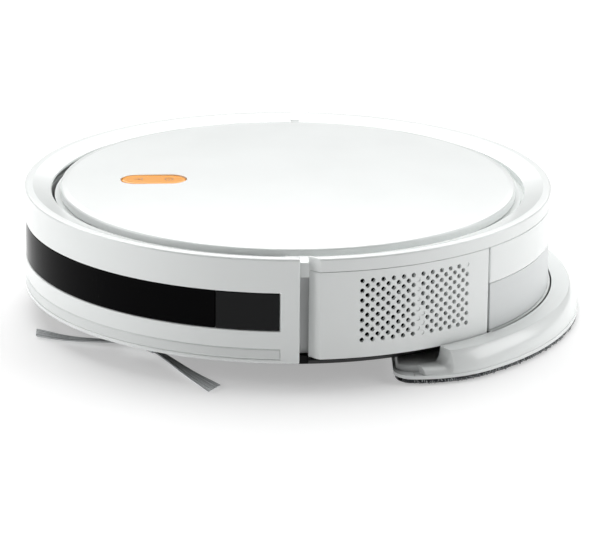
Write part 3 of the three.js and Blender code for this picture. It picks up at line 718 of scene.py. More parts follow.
def upper_shell():
    """The deck under the lid, and the rear half of the sloped ring round it."""
    lip = BODY_RADIUS - 3
    ring = softened([(BODY_RADIUS, RING_BOTTOM, 0), *RING_CORNERS])
    ring += [(RING_INNER_RADIUS, DECK_TOP - 1), (RING_INNER_RADIUS - 4, DECK_TOP - 1)]
    ring += [(RING_INNER_RADIUS - 4, DECK_BOTTOM), (lip, DECK_BOTTOM), (lip, RING_BOTTOM)]
    deck = [(0, DECK_BOTTOM), (DECK_RADIUS, DECK_BOTTOM), (DECK_RADIUS, DECK_TOP), (0, DECK_TOP)]
    nose = steps(PANEL_START, PANEL_START + NOSE_WIDTH, 0.25)
    angles = nose[:-1] + steps(nose[-1], 360 - nose[-1], FINE) + [360 - a for a in reversed(nose[:-1])]
    rows = []
    for angle in angles:
        reach = front_edge_radius(angle)
        rows.append([(*polar(min(r, reach - (BODY_RADIUS - r) * 0.3), angle), z) for r, z in ring])
    return [sweep(rows), turned(deck)]


def top_lid():
    crown_edge, crown_rise = LID_RADIUS - 4, 1.4
    edge_height = LID_HIGH.z - crown_rise
    crown = [(r, LID_HIGH.z - crown_rise * (r / crown_edge) ** 2) for r in range(0, int(crown_edge), 17)]
    outside = softened(
        [(LID_RADIUS - 3, LID_LOW.z, 0), (LID_RADIUS, LID_LOW.z, 0.6), (LID_RADIUS, edge_height - 0.5, 1.4)]
        + [(crown_edge, edge_height, 6), (crown_edge - 25, edge_height + 0.5, 0)]
    )
    inside = [(0, LID_HIGH.z - 2.8), (LID_RADIUS - 3, LID_HIGH.z - 4)]
    return turned(inside + outside[:-1] + list(reversed(crown[:7])))


def key_slot():
    centre = (KEY_LOW + KEY_HIGH) / 2
    outline = stadium(0, centre.y, KEY_HIGH.y - KEY_LOW.y + 1, 2 * KEY_HIGH.x + 1)
    return prism(outline, LID_LOW.z, KEY_HIGH.z + 10)


VENT_COLUMNS, VENT_ROWS = 24, 14
VENT_ANGLES = (103.4, 130.7)
VENT_HEIGHTS = (25.5, 67.5)
VENT_RIB = 12


def vent_point(i, j):
    """Where a point of the vent's lattice of half pitches lies, as an angle and a height."""
    angle = VENT_ANGLES[0] + (VENT_ANGLES[1] - VENT_ANGLES[0]) * i / VENT_COLUMNS
    return angle, VENT_HEIGHTS[0] + (VENT_HEIGHTS[1] - VENT_HEIGHTS[0]) * j / VENT_ROWS


def front_edge_radius(angle):
    """The body's upright front edges are cut off by a flat that ends in a small rounding."""
    t = min(1, (min(angle, 360 - angle) - PANEL_START) / NOSE_WIDTH)
    return BODY_RADIUS - NOSE_DEPTH * (1 - t - 0.04 * math.sin(math.pi * t))


def side_panel():
    """A side wall with its vent: each hole sits in a diamond, and the diamonds fill the lattice."""
    nose = steps(PANEL_START, PANEL_START + NOSE_WIDTH, 0.25)
    plain = steps(nose[-1], VENT_ANGLES[0], FINE)
    panel_columns = list(reversed(nose[:-1] + plain))
    before, after, below, above = len(panel_columns) - 1, 6, 3, 1
    lattice = {}
    points = []

    def corner(i, j):
        if (i, j) not in lattice:
            angle, height = vent_point(min(max(i, 0), VENT_COLUMNS), min(max(j, 0), VENT_ROWS))
            if i < 0:
                angle = panel_columns[-i]
            if i > VENT_COLUMNS:
                angle += (PANEL_END - VENT_ANGLES[1]) * (i - VENT_COLUMNS) / after
            if j < 0:
                height += (PANEL_LOW.z - VENT_HEIGHTS[0]) * j / -below
            if j > VENT_ROWS:
                height += (PANEL_TOP - VENT_HEIGHTS[1]) * (j - VENT_ROWS) / above
            lattice[i, j] = len(points)
            points.append((angle, height))
        return lattice[i, j]

    faces = []
    for i in range(-before, VENT_COLUMNS + after):
        for j in range(-below, VENT_ROWS + above):
            if not (0 <= i < VENT_COLUMNS and 0 <= j < VENT_ROWS):
                faces.append((corner(i, j), corner(i + 1, j), corner(i + 1, j + 1), corner(i, j + 1)))
    radius = bpy.context.scene.robot_sizes.vent_hole / MM / 2
    per_degree = math.radians(1) * BODY_RADIUS
    for i in range(VENT_COLUMNS + 1):
        for j in range(VENT_ROWS + 1):
            if (i + j) % 2:
                continue
            around = [(i + 1, j), (i, j + 1), (i - 1, j), (i, j - 1)]
            inside = [p for p in around if 0 <= p[0] <= VENT_COLUMNS and 0 <= p[1] <= VENT_ROWS]
            if len(inside) < 4:
                ring = [corner(*p) for p in inside]
                if len(ring) >= 2:
                    faces.append((corner(i, j), *ring) if len(ring) == 2 else edge_cell(i, j, around, corner))
                continue
            faces += hole_cell(points, (i, j), [corner(*p) for p in around], radius, per_degree)
    outer = [(*polar(front_edge_radius(a), a), z) for a, z in points]
    inner = [(*polar(front_edge_radius(a) - WALL, a), z) for a, z in points]
    return thick(outer, inner, faces)


def edge_cell(i, j, around, corner):
    """The half diamond at the lattice's edge, with the edge's own middle point."""
    ring = []
    for p in around:
        if 0 <= p[0] <= VENT_COLUMNS and 0 <= p[1] <= VENT_ROWS:
            ring.append(corner(*p))
        else:
            ring.append(corner(i, j))
    return tuple(ring)


def hole_cell(points, spot, diamond, radius, per_degree):
    """The faces between a round hole of 12 points and the four corners of its diamond."""
    angle, height = vent_point(*spot)
    first = len(points)
    for k in range(12):
        turn = math.radians(30 * k)
        points.append((angle + radius * math.cos(turn) / per_degree, height + radius * math.sin(turn)))
    faces = []
    for side in range(4):
        rim = [first + (3 * side + k) % 12 for k in range(4)]
        faces.append((diamond[side], diamond[(side + 1) % 4], rim[3], rim[2], rim[1], rim[0]))
    return faces


def vent_shade_sheet():
    """A near-black sheet behind the vent: painted shade for the dark inside of the body that shows through
    its holes.
    """
    start, end = VENT_ANGLES[0] + 0.6, VENT_ANGLES[1] - 0.6
    bottom, top = VENT_HEIGHTS
    band = [(157.2, bottom), (158.2, bottom), (158.2, top), (157.2, top)]
    return turned(band, start, end)


def vent_ribs():
    """A rib inside the wall fills one column of holes to just under the surface, and part of the next."""
    shapes = []
    for i, low, high in ((VENT_RIB, 0.3, VENT_ROWS - 0.3), (VENT_RIB + 1, 0.3, 5.7), (23, 12.3, 13.7)):
        middle, bottom = vent_point(i, low)
        top = vent_point(i, high)[1]
        section = [(154, bottom), (BODY_RADIUS - 0.4, bottom), (BODY_RADIUS - 0.4, top), (154, top)]
        shapes.append(turned(section, middle - 0.62, middle + 0.62, step=0.62))
    return shapes


def inner_wall():
    outside, inside = 150.5, 148
    bottom, top = BASE_HIGH.z + GAP, DECK_BOTTOM - GAP
    section = [(inside, bottom), (outside, bottom), (outside, top), (inside, top)]
    return turned(section, -PANEL_END, PANEL_END)


def shell_end():
    """The white end of the upper shell that shows in the gap behind the bumper."""
    section = [(150.8, 66.2), (156.5, 66.2), (156.5, 75), (150.8, 75.4), (144, 75.4), (144, 71), (150.8, 71)]
    return turned(section, 88.5, PANEL_START + 1, step=0.5)


class ROBOT_OT_casing(bpy.types.Operator):
    """Builds the upper shell, lid, vented side panels and inner wall"""

    bl_idname = "robot.casing"
    bl_label = "Casing"

    def execute(self, context):
        edge = context.scene.robot_sizes.edge / MM
        shell_ends = [shell_end(), flipped(shell_end())]
        shell = upper_shell() + shell_ends
        make_piece("fine_upper_shell", shell, "white_abs", "chassis", ["upper_shell"], edge=edge)
        lid = make_piece("fine_top_lid", [top_lid()], "white_abs", "chassis", ["top_lid"])
        carve(lid, key_slot())
        make_pair("side_panel", [side_panel()], "white_abs", "chassis", edge=0.22)
        # Painted shade: a near-black sheet behind each vent stands in for the dark inside of the body.
        make_pair("vent_shade_sheet", [vent_shade_sheet()], "shade_black", "chassis", replaced=False, edge=0.3)
        make_pair("vent_ribs", vent_ribs(), "white_abs", "chassis", replaced=False)
        make_piece("fine_inner_wall", [inner_wall()], "inner_white", "chassis", ["inner_wall"], edge=0.5)
        return {"FINISHED"}


# ---- Bumper ----


def bumper_shell():
    inside = BODY_RADIUS - WALL
    rows = [BUMPER_BOTTOM, STRIP_LOW.z - GAP, STRIP_HIGH.z + GAP, WINDOW_LOW.z - GAP, WINDOW_HIGH.z + GAP]
    outer = [(BODY_RADIUS, z) for z in rows[:-1]]
    ring = softened([(BODY_RADIUS, rows[-1], 0), *RING_CORNERS])
    under = [(inside, rows[-1]), (inside, RING_TOP - WALL), (RING_FLAT_RADIUS - 0.5, RING_TOP - WALL)]
    under.append((RING_INNER_RADIUS, RING_INNER_HEIGHT - 2))
    inner = [(inside, z) for z in rows[:-1]]
    for radius, height in ring:
        if height == rows[-1]:
            inner.append(under[0])
        elif radius > (BODY_RADIUS + RING_FLAT_RADIUS) / 2:
            inner.append(under[1])
        elif radius > RING_INNER_RADIUS:
            inner.append(under[2])
        else:
            inner.append(under[3])
    angles = [-BUMPER_END, -(BUMPER_END + WINDOW_END) / 2]
    angles += steps(-WINDOW_END, WINDOW_END, FINE)
    angles += [(BUMPER_END + WINDOW_END) / 2, BUMPER_END]

    def keep(angle, height):
        in_row = rows[1] < height < rows[2] or rows[3] < height < rows[4]
        return not (in_row and abs(angle) < WINDOW_END)

    return curved_wall(angles, outer + ring, inner, keep)


def window_plate(start, end):
    outside, inside = BODY_RADIUS - GAP, BODY_RADIUS - WALL
    bottom, top = WINDOW_LOW.z, WINDOW_HIGH.z
    section = [(inside, bottom), (outside, bottom), (outside, top), (inside, top)]
    return turned(section, start, end)


def bumper_strip():
    """The soft strip: a crowned band set into its groove."""
    outside, inside = BODY_RADIUS, BODY_RADIUS - 2
    bottom, top = STRIP_LOW.z - GAP, STRIP_HIGH.z + GAP
    section = [(inside, bottom), (outside - 0.45, bottom), (outside - 0.05, bottom + 0.8)]
    section += [(outside - 0.05, top - 0.8), (outside - 0.45, top), (inside, top)]
    return turned(section, 0.03 - WINDOW_END, WINDOW_END - 0.03)


class ROBOT_OT_bumper(bpy.types.Operator):
    """Builds the bumper, its sensor window and its soft strip"""

    bl_idname = "robot.bumper"
    bl_label = "Bumper"

    def execute(self, context):
        edge = context.scene.robot_sizes.edge / MM
        make_piece("fine_bumper_shell", [bumper_shell()], "white_abs", "bumper", ["bumper_shell"], edge=edge)
        glass = [window_plate(0.15 - WINDOW_SEAM, WINDOW_SEAM - 0.15)]
        make_piece("fine_sensor_window", glass, "window_black", "bumper", ["sensor_window"], edge=0.35)
        end = [window_plate(WINDOW_SEAM, WINDOW_END - 0.15)]
        make_pair("window_end", end, "window_grey", "bumper", edge=0.35)
        strip = [bumper_strip()]
        make_piece("fine_bumper_strip", strip, "strip_tpu", "bumper", ["bumper_strip"], edge=0.2, corner=25)
        return {"FINISHED"}


# ---- Control key ----


def ring_sign(x, y, radius, width, start, end, height):
    """A flat ring sector, for the printed signs."""
    points = arc(radius, start, end, (x, y), 10) + arc(radius - width, end, start, (x, y), 10)
    return prism(points, height, height + 0.06)


class ROBOT_OT_key(bpy.types.Operator):
    """Builds the orange control key and its two printed signs"""

    bl_idname = "robot.key"
    bl_label = "Control key"

    def execute(self, context):
        centre = (KEY_LOW + KEY_HIGH) / 2
        length, width, top = KEY_HIGH.y - KEY_LOW.y, 2 * KEY_HIGH.x, KEY_HIGH.z
        levels = [(0.4, KEY_LOW.z), (0, KEY_LOW.z + 0.6), (0, top - 0.9)]
        levels += [(0.3, top - 0.35), (0.9, top - 0.08), (1.8, top)]
        key = stack([(stadium(0, centre.y, length - 2 * a, width - 2 * a), z) for a, z in levels])
        make_piece("fine_control_key", [key], "key_orange", "control_key", ["control_key"])
        dock_y, power_y = centre.y - 9.5, centre.y + 9.5
        arrow = [(-1.4, dock_y - 0.2), (0, dock_y + 1.4), (1.4, dock_y - 0.2), (0, dock_y + 0.5)]
        signs = [
            ring_sign(0, power_y, 2.7, 0.55, 120, 420, top),
            prism(rectangle(0.6, 3.2, power_y - 0.28, power_y + 0.28, 0.2), top, top + 0.06),
            prism(rectangle(-2.2, 2.2, dock_y + 2.0, dock_y + 2.6, 0.2), top, top + 0.06),
            prism(rectangle(-0.3, 0.3, dock_y - 2.4, dock_y + 1.2, 0.2), top, top + 0.06),
            prism(arrow, top, top + 0.06),
        ]
        make_piece("key_signs", signs, "key_print", "control_key")
        return {"FINISHED"}


# ---- Dust box, water tank and rear cover ----

TANK_RADIUS = 158
REAR_STEPS = 68
MODULE_TOP = BOX_HIGH.z
BOX_WALL = 2
COVER_BOTTOM = COVER_LOW.z - 1.8
HIGH_CUT = 90


def module_outline(radius, neck, front, shoulder):
    """Narrow between the side walls as far as its shoulder, then out to the round rear."""
    start = 180 - math.degrees(math.acos(shoulder / radius))
    sides = [(-neck, front), (neck, front), (neck, shoulder)]
    round_rear = arc(radius, start, 360 - start, step=(360 - 2 * start) / REAR_STEPS)
    return [*sides, *round_rear, (-neck, shoulder)]


def open_box(outside, inside, bottom, floor, top):
    """A box without a lid, from its outer and inner outlines of equal length."""
    return stack([(outside, bottom), (outside, top), (inside, top), (inside, floor)])


def water_tank():
    shoulder = polar(TANK_RADIUS, COVER_START + 0.4)[1]

    def outline(inset):
        neck = BOX_HIGH.x - inset
        return module_outline(TANK_RADIUS - inset, neck, TANK_LOW.y + inset, shoulder + inset)

    inside, outside = TANK_RADIUS - 0.5, BODY_RADIUS - 0.5
    low, high = TANK_LOW.z, COVER_BOTTOM - 0.4
    step = [(inside, low), (outside - 0.4, low), (outside, low + 0.4), (outside, high), (inside, high)]
    box = open_box(outline(0), outline(BOX_WALL), TANK_LOW.z, TANK_LOW.z + BOX_WALL, MODULE_TOP)
    return [box, turned(step, COVER_START + 0.4, 359.6 - COVER_START)]


def button_notch(margin, bottom):
    x = BUTTON_HIGH.x + margin
    return block(-x, x, BUTTON_LOW.y - margin, MOP_RADIUS, bottom, HIGH_CUT)


def rear_cover():
    """The skirt round the rear, with the button's window, and the plate over the tank and the dust box."""
    rim = BODY_RADIUS - 1.5
    half = math.degrees(math.asin((BUTTON_HIGH.x + 0.5) / BODY_RADIUS))
    window = (BUTTON_LOW.z - 0.5, BUTTON_HIGH.z + 0.5)
    heights = [COVER_BOTTOM, *window, PANEL_TOP]
    angles = steps(COVER_START, 180 - half, FINE) + steps(180 - half, 180 + half, FINE)[1:-1]
    angles += steps(180 + half, 360 - COVER_START, FINE)

    def keep(angle, height):
        return not (abs(angle - 180) < half and window[0] < height < window[1])

    skirt = curved_wall(
        angles, [(BODY_RADIUS, z) for z in heights], [(BODY_RADIUS - WALL, z) for z in heights], keep
    )
    outline = module_outline(rim, BOX_HIGH.x, BOX_LOW.y, polar(rim, COVER_START)[1])
    return [skirt, prism(outline, MODULE_TOP + GAP, MODULE_TOP + GAP + WALL)]


def release_button():
    """A finger plate that follows the cover's curve, with three grip ribs."""
    half = math.degrees(math.asin(BUTTON_HIGH.x / BUTTON_HIGH.y))
    face = arc(BUTTON_HIGH.y - 0.3, 180 + half, 180 - half)
    outline = [(BUTTON_HIGH.x, BUTTON_LOW.y), *reversed(face), (-BUTTON_HIGH.x, BUTTON_LOW.y)]
    plate = prism(outline, BUTTON_LOW.z, BUTTON_HIGH.z)
    middle = (BUTTON_LOW.z + BUTTON_HIGH.z) / 2
    radius = BUTTON_HIGH.y
    ribs = []
    for offset in (-2.2, 0, 2.2):
        z = middle + offset
        section = [(radius - 1, z - 0.4), (radius, z - 0.3), (radius, z + 0.3), (radius - 1, z + 0.4)]
        ribs.append(turned(section, 180 - half * 0.7, 180 + half * 0.7))
    return [plate, *ribs]


def dust_box():
    low, high = BOX_LOW, BOX_HIGH
    outside = rectangle(low.x, high.x, low.y, high.y, 4)
    w = BOX_WALL
    inside = rectangle(low.x + w, high.x - w, low.y + w, high.y - w, 2)
    return open_box(outside, inside, low.z, low.z + w, high.z)


class ROBOT_OT_module(bpy.types.Operator):
    """Builds the dust box, water tank, rear cover and release button"""

    bl_idname = "robot.module"
    bl_label = "Dust and water module"

    def execute(self, context):
        edge = context.scene.robot_sizes.edge / MM
        body = "dust_module"
        make_piece("fine_rear_cover", rear_cover(), "white_abs", body, ["rear_cover"], edge=edge)
        tank = make_piece("fine_water_tank", water_tank(), "tank_frost", body, ["water_tank"], edge=0.5)
        carve(tank, button_notch(4, COVER_LOW.z))
        bin_piece = make_piece("fine_dust_box", [dust_box()], "smoke_box", body, ["dust_box"], edge=0.4)
        inlet = block(-70, 70, BOX_LOW.y - 5, BOX_LOW.y + 5, 24, 46)
        outlet = block(BOX_HIGH.x - 5, BOX_HIGH.x + 5, 59, 95, 30.5, 55.5)
        carve(bin_piece, inlet, outlet)
        name = "release_button"
        make_piece(f"fine_{name}", release_button(), "brush_pale", name, [name], edge=0.25)
        return {"FINISHED"}


# ---- Mop plate and pad ----

MOP_HALF_WIDTH = 155
MOP_FRONT = 60
MOP_CORNER = 12
MOP_SIDE_RADIUS = 70
MOP_SIDE_X = MOP_HALF_WIDTH - MOP_SIDE_RADIUS
MOP_SIDE = (MOP_SIDE_X, math.sqrt((MOP_RADIUS - MOP_SIDE_RADIUS) ** 2 - MOP_SIDE_X**2))
LEDGE_INNER = BODY_RADIUS + 0.8
LEDGE_START = 122.5
LEDGE_BLEND = 121
LEDGE_END = 117
LOW_END_TOP = 9.2
PLATE_BOTTOM = MOP_LOW.z
PLATE_TOP = PLATE_BOTTOM + 2


def mop_outline(inset, step=2.0):
    """A straight front edge with rounded corners, and side arcs that run smoothly into the round rear."""
    middle = (MOP_HALF_WIDTH - MOP_CORNER, MOP_FRONT + MOP_CORNER)
    blend = 90 + math.degrees(math.atan2(MOP_SIDE[1], MOP_SIDE[0]))
    left = arc(MOP_CORNER - inset, 0, 90, middle, 10)
    left += arc(MOP_SIDE_RADIUS - inset, 90, blend, MOP_SIDE, step)
    rear = arc(MOP_RADIUS - inset, blend, 360 - blend, step=step)[1:-1]
    return left + rear + [(-x, y) for x, y in reversed(left)]


def plate_reach(angle):
    """How far from the body's axis the mop plate's outline is at an angle."""
    dx, dy = polar(1, angle)
    if abs(180 - angle) <= 90 - math.degrees(math.atan2(MOP_SIDE[1], MOP_SIDE[0])):
        return MOP_RADIUS
    along = abs(dx) * MOP_SIDE[0] + dy * MOP_SIDE[1]
    return along + math.sqrt(along**2 - MOP_SIDE[0] ** 2 - MOP_SIDE[1] ** 2 + MOP_SIDE_RADIUS**2)


def mop_ledge():
    """The raised ledge round the body's rear, which falls in a hollow curve to the low front ends."""
    top = MOP_HIGH.z
    rows = []
    blend = steps(LEDGE_END, LEDGE_START, 0.2)
    angles = blend[:-1] + steps(LEDGE_START, 360 - LEDGE_START, 1) + [360 - a for a in reversed(blend[:-1])]
    for angle in angles:
        reach = plate_reach(angle) - 0.7
        from_middle = abs(180 - angle)
        t = max(0, (from_middle - (180 - LEDGE_START)) / (LEDGE_START - LEDGE_BLEND))
        crest = top - (top - LOW_END_TOP) * math.sqrt(max(0, 1 - (1 - min(1, t)) ** 2))
        drop = crest - PLATE_TOP
        flat = max(LEDGE_INNER + 1, reach - 5.3)
        outside = [(flat, 1), (flat + 0.9, 0.94), (reach - 2.4, 0.74), (reach - 1, 0.42), (reach - 0.4, 0.18)]
        profile = [(LEDGE_INNER, PLATE_BOTTOM + 0.6), (LEDGE_INNER, crest)]
        profile += [(r, PLATE_TOP + drop * share) for r, share in outside]
        profile += [(reach, PLATE_TOP + drop * 0.1), (reach, PLATE_BOTTOM + 0.6)]
        rows.append([(*polar(r, angle), z) for r, z in profile])
    return sweep(rows)


def low_end():
    """The low pad at the plate's front corner."""
    levels = [
        ((110, 147.8, 61.4, 93), 10, PLATE_TOP - 0.6),
        ((110.4, 147.2, 61.8, 92.6), 9.6, PLATE_TOP + 1),
        ((111, 146.2, 62.4, 92), 9, LOW_END_TOP - 1.2),
        ((111.4, 145.6, 62.8, 91.8), 8.6, LOW_END_TOP - 0.7),
        ((112.2, 144.6, 63.6, 91.2), 8, LOW_END_TOP - 0.4),
    ]
    return stack([(rectangle(*sides, corner), z) for sides, corner, z in levels])


def ledge_lip():
    """The ledge's thin inner edge, which reaches over the base to the water tank."""
    section = [(158.6, 17.75), (LEDGE_INNER + 1, 17.75), (LEDGE_INNER + 1, MOP_HIGH.z), (158.6, MOP_HIGH.z)]
    return turned(section, COVER_START + 0.5, 359.5 - COVER_START)


def pad_body():
    """The pad's cloth: flat where it meets the plate and the floor, with a bulging edge."""
    levels = [(2.6, 0.0), (1.7, 0.35), (1.25, 1.0), (1.2, 1.6), (1.4, 2.3), (2.1, 2.85), (2.8, 3.0)]
    rows = []
    for inset, z in levels:
        outline = mop_outline(inset, 1.0)
        ripple = [0.18 * math.sin(1.7 * i) + 0.12 * math.sin(0.63 * i + 1) for i in range(len(outline))]
        rows.append([shrunk(point, wave, z) for point, wave in zip(outline, ripple)])
    return sweep(rows)


def shrunk(point, by, z):
    """The point moved towards the body's axis."""
    length = math.hypot(*point)
    return point[0] * (1 - by / length), point[1] * (1 - by / length), z


def pad_loops(spacing):
    """Yarn loops that stand out round the pad's edge, behind its plain front corners."""
    pick = random.Random(4)
    outline = [Vector(p) for p in mop_outline(1.4, 1.0)]
    loops = []
    travelled = 0.0
    for here, there in zip(outline, outline[1:] + outline[:1]):
        length = (there - here).length
        along = (there - here).normalized()
        outward = Vector((along.y, -along.x))
        while travelled < length:
            foot = here + along * travelled
            lean = along * pick.uniform(-0.9, 0.9)
            reach = outward * pick.uniform(0.6, 1.05)
            rise = pick.uniform(0.7, 2.1)
            ends = [(0, 0.35), (0.8, 0.75), (1, 0.4), (0.75, -0.35), (0, -0.5)]
            path = []
            for out, up in ends:
                spot = foot + reach * out + lean * (up - 0.1)
                path.append((spot.x, spot.y, min(2.8, max(0.25, rise + up * 1.3))))
            if foot.y > MOP_FRONT + 12:
                loops.append(tube(path, 0.3, 4))
            travelled += spacing * pick.uniform(0.6, 1.4)
        travelled -= length
    return loops


class ROBOT_OT_mop(bpy.types.Operator):
    """Builds the mop holder and its looped microfibre pad"""

    bl_idname = "robot.mop"
    bl_label = "Mop"

    def execute(self, context):
        plate = prism(mop_outline(0, 1.0), PLATE_BOTTOM, PLATE_TOP)
        holder = [plate, mop_ledge(), ledge_lip(), low_end(), flipped(low_end())]
        make_piece("fine_mop_holder", holder, "white_abs", "mop", ["mop_holder"], edge=0.5)
        loops = pad_loops(context.scene.robot_sizes.pad_loop / MM)
        pad = make_piece("fine_mop_pad", [pad_body()], "mop_cloth", "mop", ["mop_pad"])
        make_piece("pad_loops", loops, "yarn", "mop")
        tabs = [block(146.5, 151, 62.6, 67, 1.2, 5, 1.2)]
        make_pair("pad_hook", tabs, "black_abs", "mop", replaced=False, edge=0.4)
        return {"FINISHED"}


# ---- Base plate and what is set into it ----


BASE_FOOT = 152.6


def base_outline():
    return arc(BASE_FOOT, -94, 94) + arc(BASE_FOOT, PANEL_START, 360 - PANEL_START)


def base_skirt(start, end, reach):
    """The base's side, which slants in towards the floor."""
    inside = BASE_FOOT - 2
    section = [(inside, BASE_LOW.z), (BASE_FOOT, BASE_LOW.z), (reach, BASE_HIGH.z - 0.8)]
    section += [(reach, BASE_HIGH.z), (inside, BASE_HIGH.z)]
    return turned(section, start, end)


def base_holes():
    """Openings for the wheels, brush, battery, caster, side brushes, sensors and contacts."""
    one_side = [
        rectangle(79.5, 116.5, -58, 43, 3),
        rectangle(125.7, 134.3, -58.3, -37.7),
        rectangle(19.7, 40.3, -137.3, -128.7),
        circle(95, -88, 4),
    ]
    middle = [
        rectangle(-76.5, 76.5, -15, 33, 2),
        rectangle(DOOR_LOW.x - GAP, DOOR_HIGH.x + GAP, DOOR_LOW.y - GAP, DOOR_HIGH.y + GAP),
        circle(0, -122, FORK_HIGH.x + 1),
        rectangle(-12.3, 12.3, -150.3, -142.7),
    ]
    return one_side + [[(-x, y) for x, y in reversed(hole)] for hole in one_side] + middle


DOOR_SCREW = (36, -61)
SCREW_SPOTS = [(60, -118), (112, 64), (40, 118), (-40, 118), (-112, 64), (-60, -118)]


def screw_head(x, y, bottom, radius=3.0):
    """A pan head, head down; a cross recess is cut into it separately with cross_recess."""
    head = [(0, bottom + 0.5), (radius * 0.4, bottom + 0.3), (radius * 0.8, bottom + 0.1)]
    head += [(radius, bottom + 0.6), (radius, bottom + 1.8), (0, bottom + 1.8)]
    return turned(head, centre=(x, y), step=12)


def cross_recess(x, y, bottom, radius=3.0):
    arm, half = radius * 0.62, radius * 0.14
    low, high = bottom - 1, bottom + 1.2
    return [
        block(x - arm, x + arm, y - half, y + half, low, high),
        block(x - half, x + half, y - arm, y + arm, low, high),
    ]


def battery_door():
    low, high = DOOR_LOW, DOOR_HIGH
    return block(low.x, high.x, low.y, high.y, low.z, high.z, 2)


def door_grooves():
    """Finger grooves across the battery door."""
    low, high = DOOR_LOW, DOOR_HIGH
    starts = [high.y - 12 - 4 * i for i in range(4)]
    return [block(-18, 18, y, y + 1.6, low.z - 1, low.z + 0.7) for y in starts]


def brush_guard():
    """The frame round the brush's mouth, with sloped lips; its two latch tabs are made by latch_tabs."""
    low, high = GUARD_LOW, GUARD_HIGH
    levels = []
    for inset, z in ((1.2, low.z), (0.2, low.z + 0.9), (0, low.z + 1.8), (0, high.z)):
        outline = rectangle(low.x + inset, high.x - inset, low.y + inset, high.y - inset, 4)
        levels.append((outline, z))
    for inset, z in ((0, high.z), (0, low.z + 1.2), (-0.9, low.z)):
        levels.append((rectangle(-73.5 + inset, 73.5 - inset, -10 + inset, 26 - inset, 2), z))
    return stack(levels, loop=True)


def latch_tabs():
    return [block(x - 7, x + 7, 29, 33.5, GUARD_LOW.z - 0.01, GUARD_LOW.z + 1.2, 1.5) for x in (-45, 45)]


class ROBOT_OT_base(bpy.types.Operator):
    """Builds the base plate, battery door, screws, sensors, contacts and brush guard"""

    bl_idname = "robot.base"
    bl_label = "Base"

    def execute(self, context):
        plate = prism(base_outline(), BASE_LOW.z, BASE_HIGH.z, base_holes())
        front = base_skirt(-94, 94, 154)
        rear = base_skirt(PANEL_START, 360 - PANEL_START, BASE_HIGH.y)
        shell = [plate, front, rear]
        base = make_piece("fine_base_plate", shell, "black_abs", "chassis", ["base_plate"], edge=0.6)
        wells = [prism(circle(x, y, 4), BASE_LOW.z - 1, BASE_LOW.z + 2.6) for x, y in SCREW_SPOTS]
        carve(base, *wells)
        heads = [screw_head(x, y, BASE_LOW.z + 0.8) for x, y in SCREW_SPOTS]
        screws = make_piece("base_screws", heads, "steel", "chassis")
        for x, y in SCREW_SPOTS:
            carve(screws, *cross_recess(x, y, BASE_LOW.z + 0.8))
        name = "battery_door"
        door = make_piece(f"fine_{name}", [battery_door()], "black_abs", "chassis", [name], edge=0.4)
        holes = [prism(circle(side * DOOR_SCREW[0], DOOR_SCREW[1], 3.2), 0, 30) for side in (1, -1)]
        carve(door, *holes, *door_grooves())
        for side, sign in (("left", 1), ("right", -1)):
            spot = (sign * DOOR_SCREW[0], DOOR_SCREW[1], DOOR_LOW.z)
            shank = turned([(0, 13), (1.4, 13), (1.4, 17.2), (0, 17.2)], centre=spot[:2], step=20)
            name = f"{side}_door_screw"
            screw = make_piece(f"fine_{name}", [screw_head(*spot, 2.8), shank], "steel", "chassis", [name])
            carve(screw, *cross_recess(*spot, 2.8))
        window = block(-12, 12, -150, -143, BASE_LOW.z + GAP, 14.9, 1.5)
        name = "front_cliff_window"
        make_piece(f"fine_{name}", [window], "sensor_red", "chassis", [name], edge=0.3)
        side_window = block(126, 134, -58, -38, BASE_LOW.z + GAP, 14.9, 1.5)
        make_pair("cliff_window", [side_window], "sensor_red", "chassis", edge=0.3)
        contact = block(20, 40, -137, -129, BASE_LOW.z - GAP, 14.9, 2)
        make_pair("charging_contact", [contact], "contact_plate", "chassis", edge=0.5)
        guard = [brush_guard(), *latch_tabs()]
        make_piece("fine_brush_guard", guard, "black_abs", "brush_guard", ["brush_guard"], edge=0.3)
        return {"FINISHED"}


# ---- Drive wheels, caster and springs ----

AXLE = (6, 34)
WHEEL_RADIUS = TYRE_HIGH.z - AXLE[1]
TREAD_BLOCKS = 36
CASTER_Y = -122
CASTER_AXLE = (-118.5, 9.5)


def tyre():
    """Blocks slant one way on the inner half of the tread and the other way on the outer half."""
    middle = (TYRE_LOW.x + TYRE_HIGH.x) / 2
    half = (TYRE_HIGH.x - TYRE_LOW.x) / 2
    lanes = [-half, -half + 1.2, -half + 3, -half / 2, -0.8, 0.8, half / 2, half - 3, half - 1.2, half]
    rim = WHEEL_RADIUS - 7
    rows = []
    for angle in steps(0, 360, 2.5)[:-1]:
        section = []
        for lane in lanes:
            slant = abs(lane) * 0.55
            phase = ((angle + slant) * TREAD_BLOCKS / 360) % 1
            groove = 1.5 if phase < 0.3 or abs(lane) < 1 else 0
            round_off = 1.3 if abs(lane) == half else 0.3 if abs(lane) > half - 2 else 0
            section.append((WHEEL_RADIUS - max(groove if abs(lane) < half else 0, round_off), lane + middle))
        profile = [(rim, TYRE_LOW.x), *section, (rim, TYRE_HIGH.x)]
        rows.append([(*polar(r, angle), x) for r, x in profile])
    return across(sweep(rows, loop=True), *AXLE)


def wheel_hub():
    """A dished hub with six spokes and a cap."""
    inner, outer = TYRE_LOW.x + 0.5, TYRE_HIGH.x - 1
    rim = WHEEL_RADIUS - 7 - GAP
    profile = [(3.3, inner), (rim, inner), (rim, outer), (rim - 3, outer), (rim - 5, outer - 4)]
    profile += [(9, outer - 4), (8, outer - 0.5), (6.5, outer), (0, outer), (0, 107), (3.3, 107)]
    shapes = [across(turned(profile, step=6), *AXLE)]
    for k in range(6):
        spoke = block(7, rim - 3.5, -1.2, 1.2, outer - 5, outer - 1.2)
        shapes.append(across(spun(spoke, 60 * k), *AXLE))
    return shapes


